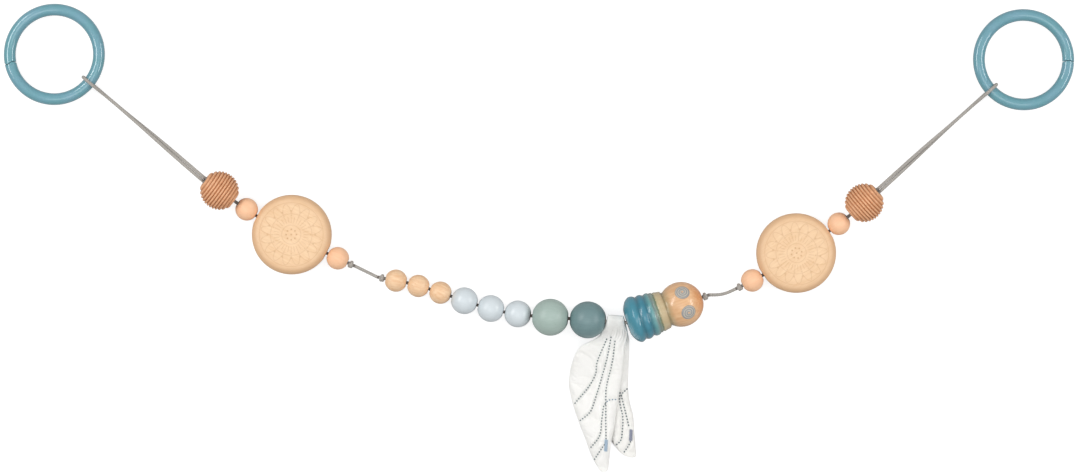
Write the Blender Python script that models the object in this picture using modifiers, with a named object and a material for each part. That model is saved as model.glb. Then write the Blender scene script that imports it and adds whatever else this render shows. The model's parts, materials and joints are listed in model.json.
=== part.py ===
"""Pram chain toy: beads, discs and a dragonfly on a cord between two snap rings.

The chain lies on a floor at z = 0, seen in the photograph from straight above.
+X runs along the chain from its left ring to its right ring, and +Z is up.
The chain is a row of links. A link is a straight stretch of cord with the bead
and knots that it carries, and the chain bends where two links meet.
"""

import math
from collections import namedtuple

import bmesh
import bpy
from mathutils import Matrix, Vector

# Cord, and the clearances that every piece shares
CORD_DIAMETER = 0.0018
BEAD_GAP = 0.00035
NECK_GAP = 0.001
SEAT_GAP = 0.0003
BORE_MARGIN = 0.00025
CUT_OVERRUN = 0.002
CORD_SIDES = 8
CORD_END_STEPS = 3
CUTTER_SIDES = 12

# Plain beads
CORAL_DIAMETER = 0.0121
NATURAL_DIAMETER = 0.012
BLUE_DIAMETER = 0.0144
SMALL_BORE = 0.0034
LARGE_DIAMETER = 0.0198
LARGE_BORE = 0.005
BEAD_STEPS = 18
LARGE_STEPS = 24
BEAD_ARC_POINTS = 10

# Ribbed beads
RIBBED_DIAMETER = 0.0208
RIB_COUNT = 12
RIB_DEPTH = 0.0006
RIB_CREST_SHARE = 0.5
RIBBED_STEPS = 20

# Wooden discs, strung through their diameter
DISC_DIAMETER = 0.0426
DISC_THICKNESS = 0.012
DISC_EDGE_RADIUS = 0.0045
DISC_STEPS = 40
DISC_EDGE_POINTS = 6

# Dragonfly body, turned in one piece: tail face, four ribs, a band, a neck and a head
BODY_LENGTH = 0.0424
TAIL_FACE_RADIUS = 0.0072
RIB_GROOVE_DEPTH = 0.0011
WIDEST_RADIUS = 0.0127
BAND_RADIUS = 0.0103
NECK_RADIUS = 0.0093
HEAD_RADIUS = 0.0120
BODY_BORE = 0.0044
# The curve from the tail face to the first rib, and the rounded shoulders of each rib
TAIL_FACE_LIFT_SHARE = 0.2
TAIL_CURVE_SHARE = 0.75
SHOULDER_DROP_SHARE = 0.15
SHOULDER_SHARES = (0.28, 0.72)
BODY_STEPS = 28
HEAD_POINTS = 9
# Each rib of the tail: where it starts and ends as shares of the body's length, and its radius
# as a share of the widest radius
TAIL_RIB_SHARES = ((0.06, 0.19, 1.0), (0.19, 0.30, 0.955), (0.30, 0.385, 0.925), (0.385, 0.455, 0.86))
BAND_SHARES = (0.455, 0.515)
BAND_EDGE_SHARES = (0.3, 0.7)
NECK_SHARE = 0.53

# Knots
KNOT_LENGTH = 0.0026
KNOT_DIAMETER = 0.0042
KNOT_STEPS = 12
# Outline of a knot: shares of its radius and of half its length, with a waist in the middle
KNOT_SHARES = (
    (0.0, 1.0), (0.62, 0.92), (0.97, 0.55), (0.88, 0.0), (0.97, -0.55), (0.62, -0.92), (0.0, -1.0),
)

# Bare cord between two knots
LEFT_BARE_LENGTH = 0.0132
RIGHT_BARE_LENGTH = 0.0144

# Stretch of cord that the wings hang on, between the teal bead and the dragonfly
WING_STRETCH = 0.0105

# Snap rings
RING_DIAMETER = 0.054
RING_TUBE = 0.006
RING_POINTS = 19
RING_BEVEL_RESOLUTION = 3
LEFT_SEAM_ANGLE = 191.3
RIGHT_SEAM_ANGLE = -3.1
LEFT_RING_HEADING = 141.6
RIGHT_RING_HEADING = 42.15

# Doubled cord between a ribbed bead and its ring
LOOP_REACH = 0.0805
LOOP_SPREAD = 0.0021
LOOP_OPENING_LENGTH = 0.014
LOOP_RISE_LENGTH = 0.045
LOOP_START_GAP = 0.0004
LOOP_MOUTH_GAP = 0.0003
LOOP_TWIST_SHARE = 0.8
LOOP_STRAND_POINTS = 20
LOOP_WRAP_POINTS = 7
LOOP_BEVEL_RESOLUTION = 2
LEFT_LOOP_HEADING = 139.8
RIGHT_LOOP_HEADING = 41.8
LOOP_MOUTH_LIFT = 0.0004

# Wings and the tab that gathers them on the cord
TAB_WIDTH = 0.0085
TAB_TAIL_GAP = 0.0016
TAB_BACK = 0.0028
TAB_REACH = 0.008
TAB_THICKNESS = 0.0056
TAB_TIP_THICKNESS = 0.0032
TAB_SLOPE = 26.0
TAB_BORE = 0.0032
TAB_EDGE_RADIUS = 0.0004
TAB_BACK_STEPS = 8
TUNNEL_SIDES = 8
WING_HINGE_GAP = 0.0008
WING_ROOT_THICKNESS = 0.001
WING_EDGE_THICKNESS = 0.0007
FRONT_WING_LENGTH = 0.0726
FRONT_WING_WIDTH = 0.0265
FRONT_WING_THICKNESS = 0.0028
FRONT_WING_SHIFT = -0.0019
BACK_WING_LENGTH = 0.0647
BACK_WING_WIDTH = 0.0154
BACK_WING_THICKNESS = 0.0024
BACK_WING_SHIFT = 0.0023
WING_SLOPE_LENGTH = 0.026
WING_LEAN = 4.0
WING_LEVELS = 5
WING_TAPER_SHARE = 0.12
WING_TIP_SHARE = 0.2
# Rows of each wing's outline from the tab to the tip: the place along the wing as a share of its
# length, then the left and right edges as shares of its width
FRONT_WING_SHARES = (
    (0.0, -0.20, 0.12), (0.07, -0.40, 0.14), (0.14, -0.62, 0.15), (0.21, -0.75, 0.16),
    (0.29, -0.82, 0.16), (0.38, -0.84, 0.15), (0.51, -0.77, 0.12), (0.66, -0.63, 0.06),
    (0.78, -0.50, 0.01), (0.85, -0.43, -0.02), (0.92, -0.34, -0.04), (0.97, -0.25, -0.07),
    (1.0, -0.18, -0.11),
)
BACK_WING_SHARES = (
    (0.0, -0.45, 0.20), (0.10, -0.48, 0.29), (0.29, -0.50, 0.29), (0.42, -0.50, 0.28),
    (0.53, -0.48, 0.30), (0.65, -0.43, 0.41), (0.78, -0.34, 0.46), (0.88, -0.24, 0.50),
    (0.93, -0.08, 0.51), (0.975, 0.12, 0.52), (1.0, 0.30, 0.46),
)
# The front wing lies on the floor left of the first share of its width and on the back wing
# right of the second
FRONT_WING_STEP_SHARES = (-0.50, -0.12)
FRONT_WING_TIP_SHARES = (0.80, 0.92)

Wing = namedtuple("Wing", "name length width thickness shift rows side")
WINGS = (
    Wing("front_wing", FRONT_WING_LENGTH, FRONT_WING_WIDTH, FRONT_WING_THICKNESS, FRONT_WING_SHIFT,
         FRONT_WING_SHARES, 1),
    Wing("back_wing", BACK_WING_LENGTH, BACK_WING_WIDTH, BACK_WING_THICKNESS, BACK_WING_SHIFT,
         BACK_WING_SHARES, -1),
)

# The links from left to right: heading in degrees in plan, the bead's shape, the length that the
# bead takes on the cord, its height on the floor, its bore, and what else is on the link
Link = namedtuple("Link", "name heading bead shape width height bore before after")
CHAIN = (
    Link("left_ribbed", -35.5, "left_ribbed_bead", "ribbed", RIBBED_DIAMETER, RIBBED_DIAMETER,
         LARGE_BORE, None, None),
    Link("left_outer_coral", -34.0, "left_outer_coral_bead", "coral", CORAL_DIAMETER, CORAL_DIAMETER,
         SMALL_BORE, None, None),
    Link("left_disc", -28.0, "left_disc", "disc", DISC_DIAMETER, DISC_THICKNESS,
         SMALL_BORE, None, None),
    Link("left_inner_coral", -24.5, "left_inner_coral_bead", "coral", CORAL_DIAMETER, CORAL_DIAMETER,
         SMALL_BORE, None, "left_outer_knot"),
    Link("left_bare", -26.0, None, None, LEFT_BARE_LENGTH, NATURAL_DIAMETER, 0, None, None),
    Link("natural_1", -11.0, "natural_bead_1", "natural", NATURAL_DIAMETER, NATURAL_DIAMETER,
         SMALL_BORE, "left_inner_knot", None),
    Link("natural_2", -15.5, "natural_bead_2", "natural", NATURAL_DIAMETER, NATURAL_DIAMETER,
         SMALL_BORE, None, None),
    Link("natural_3", -18.5, "natural_bead_3", "natural", NATURAL_DIAMETER, NATURAL_DIAMETER,
         SMALL_BORE, None, None),
    Link("blue_1", -18.5, "blue_bead_1", "blue", BLUE_DIAMETER, BLUE_DIAMETER,
         SMALL_BORE, None, None),
    Link("blue_2", -14.5, "blue_bead_2", "blue", BLUE_DIAMETER, BLUE_DIAMETER,
         SMALL_BORE, None, None),
    Link("blue_3", -8.0, "blue_bead_3", "blue", BLUE_DIAMETER, BLUE_DIAMETER,
         SMALL_BORE, None, None),
    Link("sage", -4.0, "sage_bead", "sage", LARGE_DIAMETER, LARGE_DIAMETER, LARGE_BORE, None, None),
    Link("teal", -4.0, "teal_bead", "teal", LARGE_DIAMETER, LARGE_DIAMETER, LARGE_BORE, None, "wings"),
    Link("dragonfly", 18.5, "dragonfly_body", "dragonfly", BODY_LENGTH, 2 * WIDEST_RADIUS,
         BODY_BORE, None, "dragonfly_knot"),
    Link("right_bare", 12.0, None, None, RIGHT_BARE_LENGTH, CORAL_DIAMETER, 0, None, None),
    Link("right_inner_coral", 27.0, "right_inner_coral_bead", "coral", CORAL_DIAMETER, CORAL_DIAMETER,
         SMALL_BORE, "right_inner_knot", None),
    Link("right_disc", 33.5, "right_disc", "disc", DISC_DIAMETER, DISC_THICKNESS,
         SMALL_BORE, None, None),
    Link("right_outer_coral", 38.0, "right_outer_coral_bead", "coral", CORAL_DIAMETER, CORAL_DIAMETER,
         SMALL_BORE, None, None),
    Link("right_ribbed", 41.0, "right_ribbed_bead", "ribbed", RIBBED_DIAMETER, RIBBED_DIAMETER,
         LARGE_BORE, None, None),
)
ROOT_LINK = "dragonfly"
WINGS_LINK = "teal"

# Colour, roughness and metallic value of each finish
FINISHES = {
    "cord": ((0.37, 0.35, 0.33), 0.85, 0.0),
    "coral": ((0.93, 0.53, 0.37), 0.5, 0.0),
    "natural": ((0.91, 0.61, 0.36), 0.5, 0.0),
    "ribbed": ((0.73, 0.38, 0.19), 0.6, 0.0),
    "disc": ((0.88, 0.63, 0.40), 0.55, 0.0),
    "blue": ((0.70, 0.79, 0.86), 0.3, 0.0),
    "sage": ((0.31, 0.46, 0.38), 0.5, 0.0),
    "teal": ((0.16, 0.29, 0.28), 0.5, 0.0),
    "dragonfly": ((0.08, 0.29, 0.38), 0.3, 0.0),
    "ring": ((0.17, 0.35, 0.39), 0.25, 0.0),
    "cloth": ((0.92, 0.91, 0.89), 0.9, 0.0),
}

UP = Vector((0, 0, 1))


def clear_scene():
    """Remove every object, so that the script can be run again."""
    for old in list(bpy.data.objects):
        bpy.data.objects.remove(old, do_unlink=True)


def new_collection(name):
    """Make a collection in the scene."""
    collection = bpy.data.collections.new(name)
    bpy.context.scene.collection.children.link(collection)
    return collection


def finish(name):
    """Return the named finish as a Principled material, made at its first use."""
    made = bpy.data.materials.get(name)
    if made:
        return made
    colour, roughness, metallic = FINISHES[name]
    made = bpy.data.materials.new(name)
    made.use_nodes = True
    shader = made.node_tree.nodes["Principled BSDF"]
    shader.inputs["Base Color"].default_value = (*colour, 1.0)
    shader.inputs["Roughness"].default_value = roughness
    shader.inputs["Metallic"].default_value = metallic
    made.diffuse_color = (*colour, 1.0)
    return made


def smoothstep(share):
    """Ease from 0 to 1 as the share goes from 0 to 1."""
    share = min(max(share, 0.0), 1.0)
    return share * share * (3 - 2 * share)


def heading_vector(degrees):
    """Level unit vector at an angle in plan."""
    return Vector((math.cos(math.radians(degrees)), math.sin(math.radians(degrees)), 0))


def frame_at(origin, along):
    """World matrix whose X runs along the vector, with Y level and Z as near up as it can be."""
    x_axis = along.normalized()
    y_axis = UP.cross(x_axis).normalized()
    z_axis = x_axis.cross(y_axis)
    matrix = Matrix((x_axis, y_axis, z_axis)).transposed().to_4x4()
    matrix.translation = origin
    return matrix


# Turned shapes have their axis on local Z, and a link runs along local X
TURNED_TO_LINK = Matrix(((0, 0, 1, 0), (0, -1, 0, 0), (1, 0, 0, 0), (0, 0, 0, 1)))


class Builder:
    """Keeps the collections and the world matrix of each object and empty that it places."""

    def __init__(self):
        self.parts = new_collection("pram_chain_toy")
        self.cutters = new_collection("cutters")
        self.world = {}
        self.frame = self.empty("chain_frame", None, Matrix())

    def empty(self, name, parent, world):
        """Add an empty at a joint, under its parent."""
        guide = bpy.data.objects.new(name, None)
        guide.empty_display_size = CORD_DIAMETER
        self.parts.objects.link(guide)
        self.attach(guide, parent, world)
        return guide

    def attach(self, thing, parent, world):
        """Put an object where its world matrix says, under its parent."""
        self.world[thing.name] = world
        if parent:
            thing.parent = parent
            thing.matrix_basis = self.world[parent.name].inverted() @ world
        else:
            thing.matrix_basis = world

    def add(self, name, data, material, parent, world):
        """Add one sub-part with its material."""
        data.materials.append(finish(material))
        thing = bpy.data.objects.new(name, data)
        self.parts.objects.link(thing)
        self.attach(thing, parent, world)
        return thing


def shade(mesh, degrees=40):
    """Shade a mesh smooth apart from its sharp edges."""
    mesh.shade_smooth()
    mesh.set_sharp_from_angle(angle=math.radians(degrees))


def turned(builder, name, profile, steps, material, parent, world):
    """Turn a profile of (radius, height) points about local Z with a Screw modifier.

    The profile runs down the outer side. It may close on itself, which leaves a bore.
    """
    mesh = bpy.data.meshes.new(name)
    points = [(radius, 0, height) for radius, height in profile]
    count = len(points)
    closed = profile[0][0] > 0
    edges = [(i, i + 1) for i in range(count - 1)]
    if closed:
        edges.append((count - 1, 0))
    mesh.from_pydata(points, edges, [])
    thing = builder.add(name, mesh, material, parent, world)
    screw = thing.modifiers.new("turn", "SCREW")
    screw.axis = "Z"
    screw.angle = math.tau
    screw.steps = steps
    screw.render_steps = steps
    screw.use_merge_vertices = True
    screw.merge_threshold = SEAT_GAP * 0.01
    screw.use_smooth_shade = True
    return thing


def sphere_profile(diameter, bore, count):
    """Outer arc of a ball from the top of its bore to the bottom; the bore closes the profile."""
    radius = diameter / 2
    bore_radius = bore / 2
    start = math.asin(bore_radius / radius)
    angles = [start + (math.pi - 2 * start) * i / count for i in range(count + 1)]
    return [(radius * math.sin(angle), radius * math.cos(angle)) for angle in angles]


def ribbed_profile():
    """Ball whose outer arc carries turned ribs: two crest points and one groove point a rib."""
    radius = RIBBED_DIAMETER / 2
    bore_radius = LARGE_BORE / 2
    top = math.sqrt(radius ** 2 - bore_radius ** 2) - RIB_DEPTH
    pitch = 2 * top / RIB_COUNT
    crest = pitch * RIB_CREST_SHARE / 2
    profile = []
    for rib in range(RIB_COUNT):
        middle = top - pitch * (rib + 0.5)
        for height in (middle + crest, middle - crest):
            profile.append((math.sqrt(radius ** 2 - height ** 2), height))
        groove = middle - pitch / 2
        if rib < RIB_COUNT - 1:
            profile.append((math.sqrt(radius ** 2 - groove ** 2) - RIB_DEPTH, groove))
    first, last = profile[0][1] + RIB_DEPTH, profile[-1][1] - RIB_DEPTH
    return [(bore_radius, first)] + profile + [(bore_radius, last)]


def disc_profile():
    """Flat disc with rounded edges, closed at the axis."""
    half = DISC_THICKNESS / 2
    inner = DISC_DIAMETER / 2 - DISC_EDGE_RADIUS
    profile = [(0, half)]
    for side in (1, -1):
        for i in range(DISC_EDGE_POINTS):
            turn = math.pi / 2 * i / (DISC_EDGE_POINTS - 1)
            turn = turn if side > 0 else math.pi / 2 - turn
            height = side * (half - DISC_EDGE_RADIUS + DISC_EDGE_RADIUS * math.cos(turn))
            profile.append((inner + DISC_EDGE_RADIUS * math.sin(turn), height))
    profile.append((0, -half))
    return profile


def body_profile():
    """Dragonfly body from the tail at local z 0 to the head, listed from the head down."""
    bore_radius = BODY_BORE / 2
    profile = [(bore_radius, 0), (TAIL_FACE_RADIUS, RIB_GROOVE_DEPTH * TAIL_FACE_LIFT_SHARE)]
    start = TAIL_RIB_SHARES[0][0] * BODY_LENGTH
    profile.append(((TAIL_FACE_RADIUS + WIDEST_RADIUS) / 2, start * TAIL_CURVE_SHARE))
    for begin, end, share in TAIL_RIB_SHARES:
        width = (end - begin) * BODY_LENGTH
        radius = WIDEST_RADIUS * share
        foot = begin * BODY_LENGTH
        shoulder = radius - RIB_GROOVE_DEPTH * SHOULDER_DROP_SHARE
        profile.append((shoulder, foot + width * SHOULDER_SHARES[0]))
        profile.append((radius, foot + width / 2))
        profile.append((shoulder, foot + width * SHOULDER_SHARES[1]))
        profile.append((radius - RIB_GROOVE_DEPTH, foot + width))
    band_width = (BAND_SHARES[1] - BAND_SHARES[0]) * BODY_LENGTH
    for share in BAND_EDGE_SHARES:
        profile.append((BAND_RADIUS, BAND_SHARES[0] * BODY_LENGTH + band_width * share))
    profile.append((NECK_RADIUS, NECK_SHARE * BODY_LENGTH))
    centre = BODY_LENGTH - math.sqrt(HEAD_RADIUS ** 2 - bore_radius ** 2)
    first = math.pi - math.asin(NECK_RADIUS / HEAD_RADIUS)
    last = math.asin(bore_radius / HEAD_RADIUS)
    for i in range(1, HEAD_POINTS + 1):
        angle = first + (last - first) * i / HEAD_POINTS
        profile.append((HEAD_RADIUS * math.sin(angle), centre + HEAD_RADIUS * math.cos(angle)))
    return profile[::-1]


def knot_profile():
    """Two turns of cord drawn tight: a short barrel with a waist."""
    half = KNOT_LENGTH / 2
    radius = KNOT_DIAMETER / 2
    return [(radius * across, half * along) for across, along in KNOT_SHARES]


def cord_profile(length, ball_start):
    """Straight stretch of cord along local z, with a round end at z = 0 where a link turns on it."""
    radius = CORD_DIAMETER / 2
    profile = [(0, length), (radius, length)]
    if ball_start:
        for i in range(CORD_END_STEPS):
            angle = math.pi / 2 * i / CORD_END_STEPS
            profile.append((radius * math.cos(angle), -radius * math.sin(angle)))
        profile.append((0, -radius))
    else:
        profile += [(radius, 0), (0, 0)]
    return profile


def link_ends():
    """Lay the links out in plan and in height, and return for each its two ends.

    In height the cord passes midway between the middles of neighbouring beads. The dragonfly
    rests on its widest rib and its head, which sets the height of both its ends.
    """
    def gap(left, right):
        shapes = (left.shape, right.shape)
        return NECK_GAP if "ribbed" in shapes else BEAD_GAP

    plan = Vector((0, 0, 0))
    places = []
    for index, link in enumerate(CHAIN):
        before = gap(CHAIN[index - 1], link) / 2 if index else BEAD_GAP / 2
        after = gap(link, CHAIN[index + 1]) / 2 if index + 1 < len(CHAIN) else BEAD_GAP / 2
        if link.bead is None:
            before = after = 0
        reach = before + link.width + after
        middle = before + link.width / 2
        if link.before:
            reach += KNOT_LENGTH + knot_face() - before + BEAD_GAP
            middle += KNOT_LENGTH + knot_face() - before + BEAD_GAP
        if link.after == "wings":
            reach += WING_STRETCH
        elif link.after:
            reach += KNOT_LENGTH + knot_face() - after + BEAD_GAP
        end = plan + heading_vector(link.heading) * reach
        places.append([plan.copy(), end.copy(), middle / reach])
        plan = end
    for index in range(len(CHAIN) + 1):
        height = joint_height(index)
        if index < len(CHAIN):
            places[index][0].z = height
        if index > 0:
            places[index - 1][1].z = height
    return places


def knot_face():
    """Distance from a knot's face to the point where the bare cord turns on it."""
    return CORD_DIAMETER / 2 + SEAT_GAP


def joint_height(index):
    """Height of the cord where link number index starts."""
    left = CHAIN[index - 1] if index else None
    right = CHAIN[index] if index < len(CHAIN) else None
    if right and right.shape == "dragonfly":
        return WIDEST_RADIUS
    if left and left.shape == "dragonfly":
        return HEAD_RADIUS
    if left is None:
        return right.height / 2 + LOOP_MOUTH_LIFT
    if right is None:
        return left.height / 2 + LOOP_MOUTH_LIFT
    return (left.height + right.height) / 4


def bead_matrix(link, start, end, share):
    """World matrix of a bead: on the floor if the play in its bore lets it."""
    on_cord = start.lerp(end, share)
    play = (link.bore - CORD_DIAMETER) / 2 - BORE_MARGIN
    rest = link.height / 2
    centre = on_cord.copy()
    centre.z = min(max(rest, on_cord.z - play), on_cord.z + play)
    return frame_at(centre, end - start)


def make_bead(builder, link, parent, world):
    """Model one bead, disc or dragonfly body in its link's frame."""
    along = world @ TURNED_TO_LINK
    if link.shape == "ribbed":
        return turned(builder, link.bead, ribbed_profile(), RIBBED_STEPS, "ribbed", parent, along)
    if link.shape == "dragonfly":
        tail = along @ Matrix.Translation((0, 0, -BODY_LENGTH / 2))
        return turned(builder, link.bead, body_profile(), BODY_STEPS, "dragonfly", parent, tail)
    if link.shape == "disc":
        disc = turned(builder, link.bead, disc_profile(), DISC_STEPS, "disc", parent, world)
        bore_through(builder, disc, link, along)
        return disc
    steps = LARGE_STEPS if link.shape in ("sage", "teal") else BEAD_STEPS
    profile = sphere_profile(link.width, link.bore, BEAD_ARC_POINTS)
    return turned(builder, link.bead, profile, steps, link.shape, parent, along)


def bore_through(builder, disc, link, along):
    """Drill the cord's bore through a disc from rim to rim."""
    mesh = bpy.data.meshes.new(link.bead + "_bore")
    shape = bmesh.new()
    bmesh.ops.create_cone(shape, cap_ends=True, segments=CUTTER_SIDES, radius1=link.bore / 2,
                          radius2=link.bore / 2, depth=link.width + 2 * CUT_OVERRUN)
    shape.to_mesh(mesh)
    shape.free()
    cutter = bpy.data.objects.new(link.bead + "_bore", mesh)
    cutter.hide_render = True
    cutter.display_type = "WIRE"
    builder.cutters.objects.link(cutter)
    builder.attach(cutter, builder.frame, along)
    cut = disc.modifiers.new("bore", "BOOLEAN")
    cut.operation = "DIFFERENCE"
    cut.object = cutter


def make_link_cord(builder, index, parent, start, end):
    """Model the cord of a link. It turns on the last link's cord, so its first end is round."""
    link = CHAIN[index]
    along = (end - start).normalized()
    length = (end - start).length
    first, last = 0.0, knot_face()
    if index == 0:
        first = LOOP_MOUTH_GAP
    if index == len(CHAIN) - 1:
        last = LOOP_MOUTH_GAP
    if link.before:
        first = knot_face() + KNOT_LENGTH + SEAT_GAP
    if link.after and link.after != "wings":
        last = knot_face() + KNOT_LENGTH + SEAT_GAP
    world = frame_at(start + along * first, along) @ TURNED_TO_LINK
    profile = cord_profile(length - first - last, index > 0 and not link.before)
    turned(builder, link.name + "_cord", profile, CORD_SIDES, "cord", parent, world)


def make_bare_cord(builder, link, parent, start, end):
    """Model a bare cord between two knots, round at both ends, which it turns on."""
    length = (end - start).length
    profile = cord_profile(length, True)[2:]
    profile = [(across, length - along) for across, along in profile[::-1]] + profile
    world = frame_at(start, end - start) @ TURNED_TO_LINK
    turned(builder, link.name + "_cord", profile, CORD_SIDES, "cord", parent, world)


def make_knots(builder, link, parent, start, end):
    """Model the knots of a link, beside its bead."""
    along = (end - start).normalized()
    reach = knot_face() + KNOT_LENGTH / 2
    if link.before:
        world = frame_at(start + along * reach, along) @ TURNED_TO_LINK
        turned(builder, link.before, knot_profile(), KNOT_STEPS, "cord", parent, world)
    if link.after and link.after != "wings":
        world = frame_at(end - along * reach, along) @ TURNED_TO_LINK
        turned(builder, link.after, knot_profile(), KNOT_STEPS, "cord", parent, world)


def poly_tube(builder, name, points, diameter, resolution, material, parent, world):
    """Tube with filled caps along points that are given in world space."""
    data = bpy.data.curves.new(name, "CURVE")
    data.dimensions = "3D"
    data.bevel_depth = diameter / 2
    data.bevel_resolution = resolution
    data.use_fill_caps = True
    spline = data.splines.new("POLY")
    spline.points.add(len(points) - 1)
    to_local = world.inverted()
    for point, place in zip(spline.points, points):
        point.co = (*(to_local @ place), 1)
    spline.use_smooth = True
    return builder.add(name, data, material, parent, world)


def loop_route(mouth, heading, ring_frame):
    """Points of the doubled cord: out from the bead, round the ring's tube and back again.

    The two strands lie side by side at the bead and one over the other at the ring, where the
    lower one lies on the floor.
    """
    radius = CORD_DIAMETER / 2
    wrap = RING_TUBE / 2 + SEAT_GAP + radius
    forward = heading_vector(heading)
    side = UP.cross(forward)
    crossing = ring_frame.translation
    span = (crossing - mouth).to_2d().length

    def strand(x, hand):
        to_ring = span - x
        opening = 1 - smoothstep(to_ring / LOOP_OPENING_LENGTH)
        apart = LOOP_SPREAD / 2 + (wrap - LOOP_SPREAD / 2) * opening
        turn = math.pi / 2 * smoothstep(x / span / LOOP_TWIST_SHARE)
        floor = radius + apart * math.sin(turn)
        rise = 1 - smoothstep(x / LOOP_RISE_LENGTH)
        height = floor + (mouth.z - floor) * rise
        place = mouth + forward * x + side * (hand * apart * math.cos(turn))
        place.z = height + hand * apart * math.sin(turn)
        return place

    first = LOOP_START_GAP
    second = first + CORD_DIAMETER
    count = LOOP_STRAND_POINTS
    stops = [first] + [second + (span - second) * i / count for i in range(count + 1)]
    upper = [strand(x, 1) for x in stops]
    lower = [strand(x, -1) for x in stops]
    wrapped = []
    for i in range(1, LOOP_WRAP_POINTS):
        angle = math.pi / 2 - math.pi * i / LOOP_WRAP_POINTS
        wrapped.append(crossing + forward * (wrap * math.cos(angle)) + UP * (wrap * math.sin(angle)))
    return upper + wrapped + lower[::-1]


def ring_frame_at(mouth, loop_heading, ring_heading):
    """Frame at the middle of the ring's tube under the loop: X points to the ring's centre.

    The tube is lifted by the cord under it there, and rests on the floor at its far side.
    """
    tube = RING_TUBE / 2
    lifted = CORD_DIAMETER + SEAT_GAP + tube
    crossing = mouth + heading_vector(loop_heading) * LOOP_REACH
    crossing.z = lifted
    slope = math.asin((lifted - tube) / (RING_DIAMETER - RING_TUBE))
    along = heading_vector(ring_heading) * math.cos(slope) - UP * math.sin(slope)
    return frame_at(crossing, along)


def ring_points(frame, heading, start, end):
    """Points round the ring's tube from one angle in plan to another.

    A short first and last step squares the two end faces to the ring.
    """
    centre = (RING_DIAMETER - RING_TUBE) / 2
    trim = math.degrees(SEAT_GAP / 2 / centre)
    first, last = start + trim, end - trim
    angles = [first, first + trim]
    angles += [first + (last - first) * i / RING_POINTS for i in range(1, RING_POINTS)]
    angles += [last - trim, last]
    points = []
    for angle in angles:
        turn = math.radians(angle - heading)
        points.append(frame @ Vector((centre + centre * math.cos(turn), centre * math.sin(turn), 0)))
    return points


def make_ring(builder, side, parent, frame, heading, seam):
    """Model a snap ring as the half that holds the cord and the half that springs open.

    Both meet at the seam. Opposite the seam the ring's own flex is the hinge, on its outer side.
    """
    centre = (RING_DIAMETER - RING_TUBE) / 2
    tilt = builder.empty(side + "_ring_tilt", parent, frame)
    held, sprung = (seam, seam + 180), (seam + 180, seam + 360)
    if (heading + 180 - seam) % 360 > 180:
        held, sprung = sprung, held
    poly_tube(builder, side + "_ring", ring_points(frame, heading, *held), RING_TUBE,
              RING_BEVEL_RESOLUTION, "ring", tilt, frame)
    turn = math.radians(seam + 180 - heading)
    outer = RING_DIAMETER / 2
    hinge = frame @ Vector((centre + outer * math.cos(turn), outer * math.sin(turn), 0))
    hinge_frame = frame.copy()
    hinge_frame.translation = hinge
    flex = builder.empty(side + "_ring_flex", tilt, hinge_frame)
    poly_tube(builder, side + "_ring_clip", ring_points(frame, heading, *sprung), RING_TUBE,
              RING_BEVEL_RESOLUTION, "ring", flex, hinge_frame)


def make_tab(builder, parent, frame):
    """Model the cloth tab that is folded round the cord, with its tunnel for the cord.

    The outline lies in local YZ: a round back behind the cord and a tail towards the wings.
    """
    data = bpy.data.curves.new("wing_tab", "CURVE")
    data.dimensions = "2D"
    data.fill_mode = "BOTH"
    data.extrude = TAB_WIDTH / 2 - TAB_EDGE_RADIUS
    data.bevel_depth = TAB_EDGE_RADIUS
    data.bevel_resolution = 1
    inset = TAB_EDGE_RADIUS
    half = TAB_THICKNESS / 2 - inset
    back = TAB_BACK - inset
    tip = TAB_TIP_THICKNESS / 2 - inset
    outline = []
    for i in range(TAB_BACK_STEPS + 1):
        angle = math.pi / 2 + math.pi * i / TAB_BACK_STEPS
        outline.append((back * math.cos(angle), half * math.sin(angle)))
    outline += [(TAB_REACH - inset, -tip), (TAB_REACH - inset, tip)]
    tunnel = []
    around = TAB_BORE / 2 + inset
    for i in range(TUNNEL_SIDES):
        angle = -math.tau * i / TUNNEL_SIDES
        tunnel.append((around * math.cos(angle), around * math.sin(angle)))
    for ring in (outline, tunnel):
        spline = data.splines.new("POLY")
        spline.points.add(len(ring) - 1)
        for point, (across, up) in zip(spline.points, ring):
            point.co = (across, up, 0, 1)
        spline.use_cyclic_u = True
    flat_to_link = Matrix(((0, 0, 1, 0), (-1, 0, 0, 0), (0, 1, 0, 0), (0, 0, 0, 1)))
    return builder.add("wing_tab", data, "cloth", parent, frame @ flat_to_link)


def wing_low(wing, across, reach, root_low):
    """Height of a wing's underside: on what is below, and up a slope to the tab."""
    rest = 0.0
    if wing.name == "front_wing":
        first, last = FRONT_WING_STEP_SHARES
        tip_first, tip_last = FRONT_WING_TIP_SHARES
        climb = smoothstep((across - first) / (last - first))
        tip = 1 - smoothstep((reach - tip_first) / (tip_last - tip_first))
        rest = (BACK_WING_THICKNESS + SEAT_GAP) * climb * tip
    settled = smoothstep(reach * wing.length / WING_SLOPE_LENGTH)
    return root_low + (rest - root_low) * settled


def wing_section(wing, row, root_low):
    """Closed lens-shaped section of a wing: over the top from left to right and back below."""
    reach, left, right = row
    settled = smoothstep(reach * wing.length / WING_SLOPE_LENGTH)
    full = WING_ROOT_THICKNESS + (wing.thickness - WING_ROOT_THICKNESS) * settled
    taper = max(smoothstep((1 - reach) / WING_TAPER_SHARE), WING_TIP_SHARE)
    full = WING_EDGE_THICKNESS + (full - WING_EDGE_THICKNESS) * taper
    over, under = [], []
    for i in range(WING_LEVELS):
        share = i / (WING_LEVELS - 1)
        across = left + (right - left) * share
        swell = 1 - (2 * share - 1) ** 4
        thick = WING_EDGE_THICKNESS + (full - WING_EDGE_THICKNESS) * swell
        low = wing_low(wing, across, reach, root_low)
        over.append((across * wing.width, low + thick))
        under.append((across * wing.width, low))
    return over + under[::-1]


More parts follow.
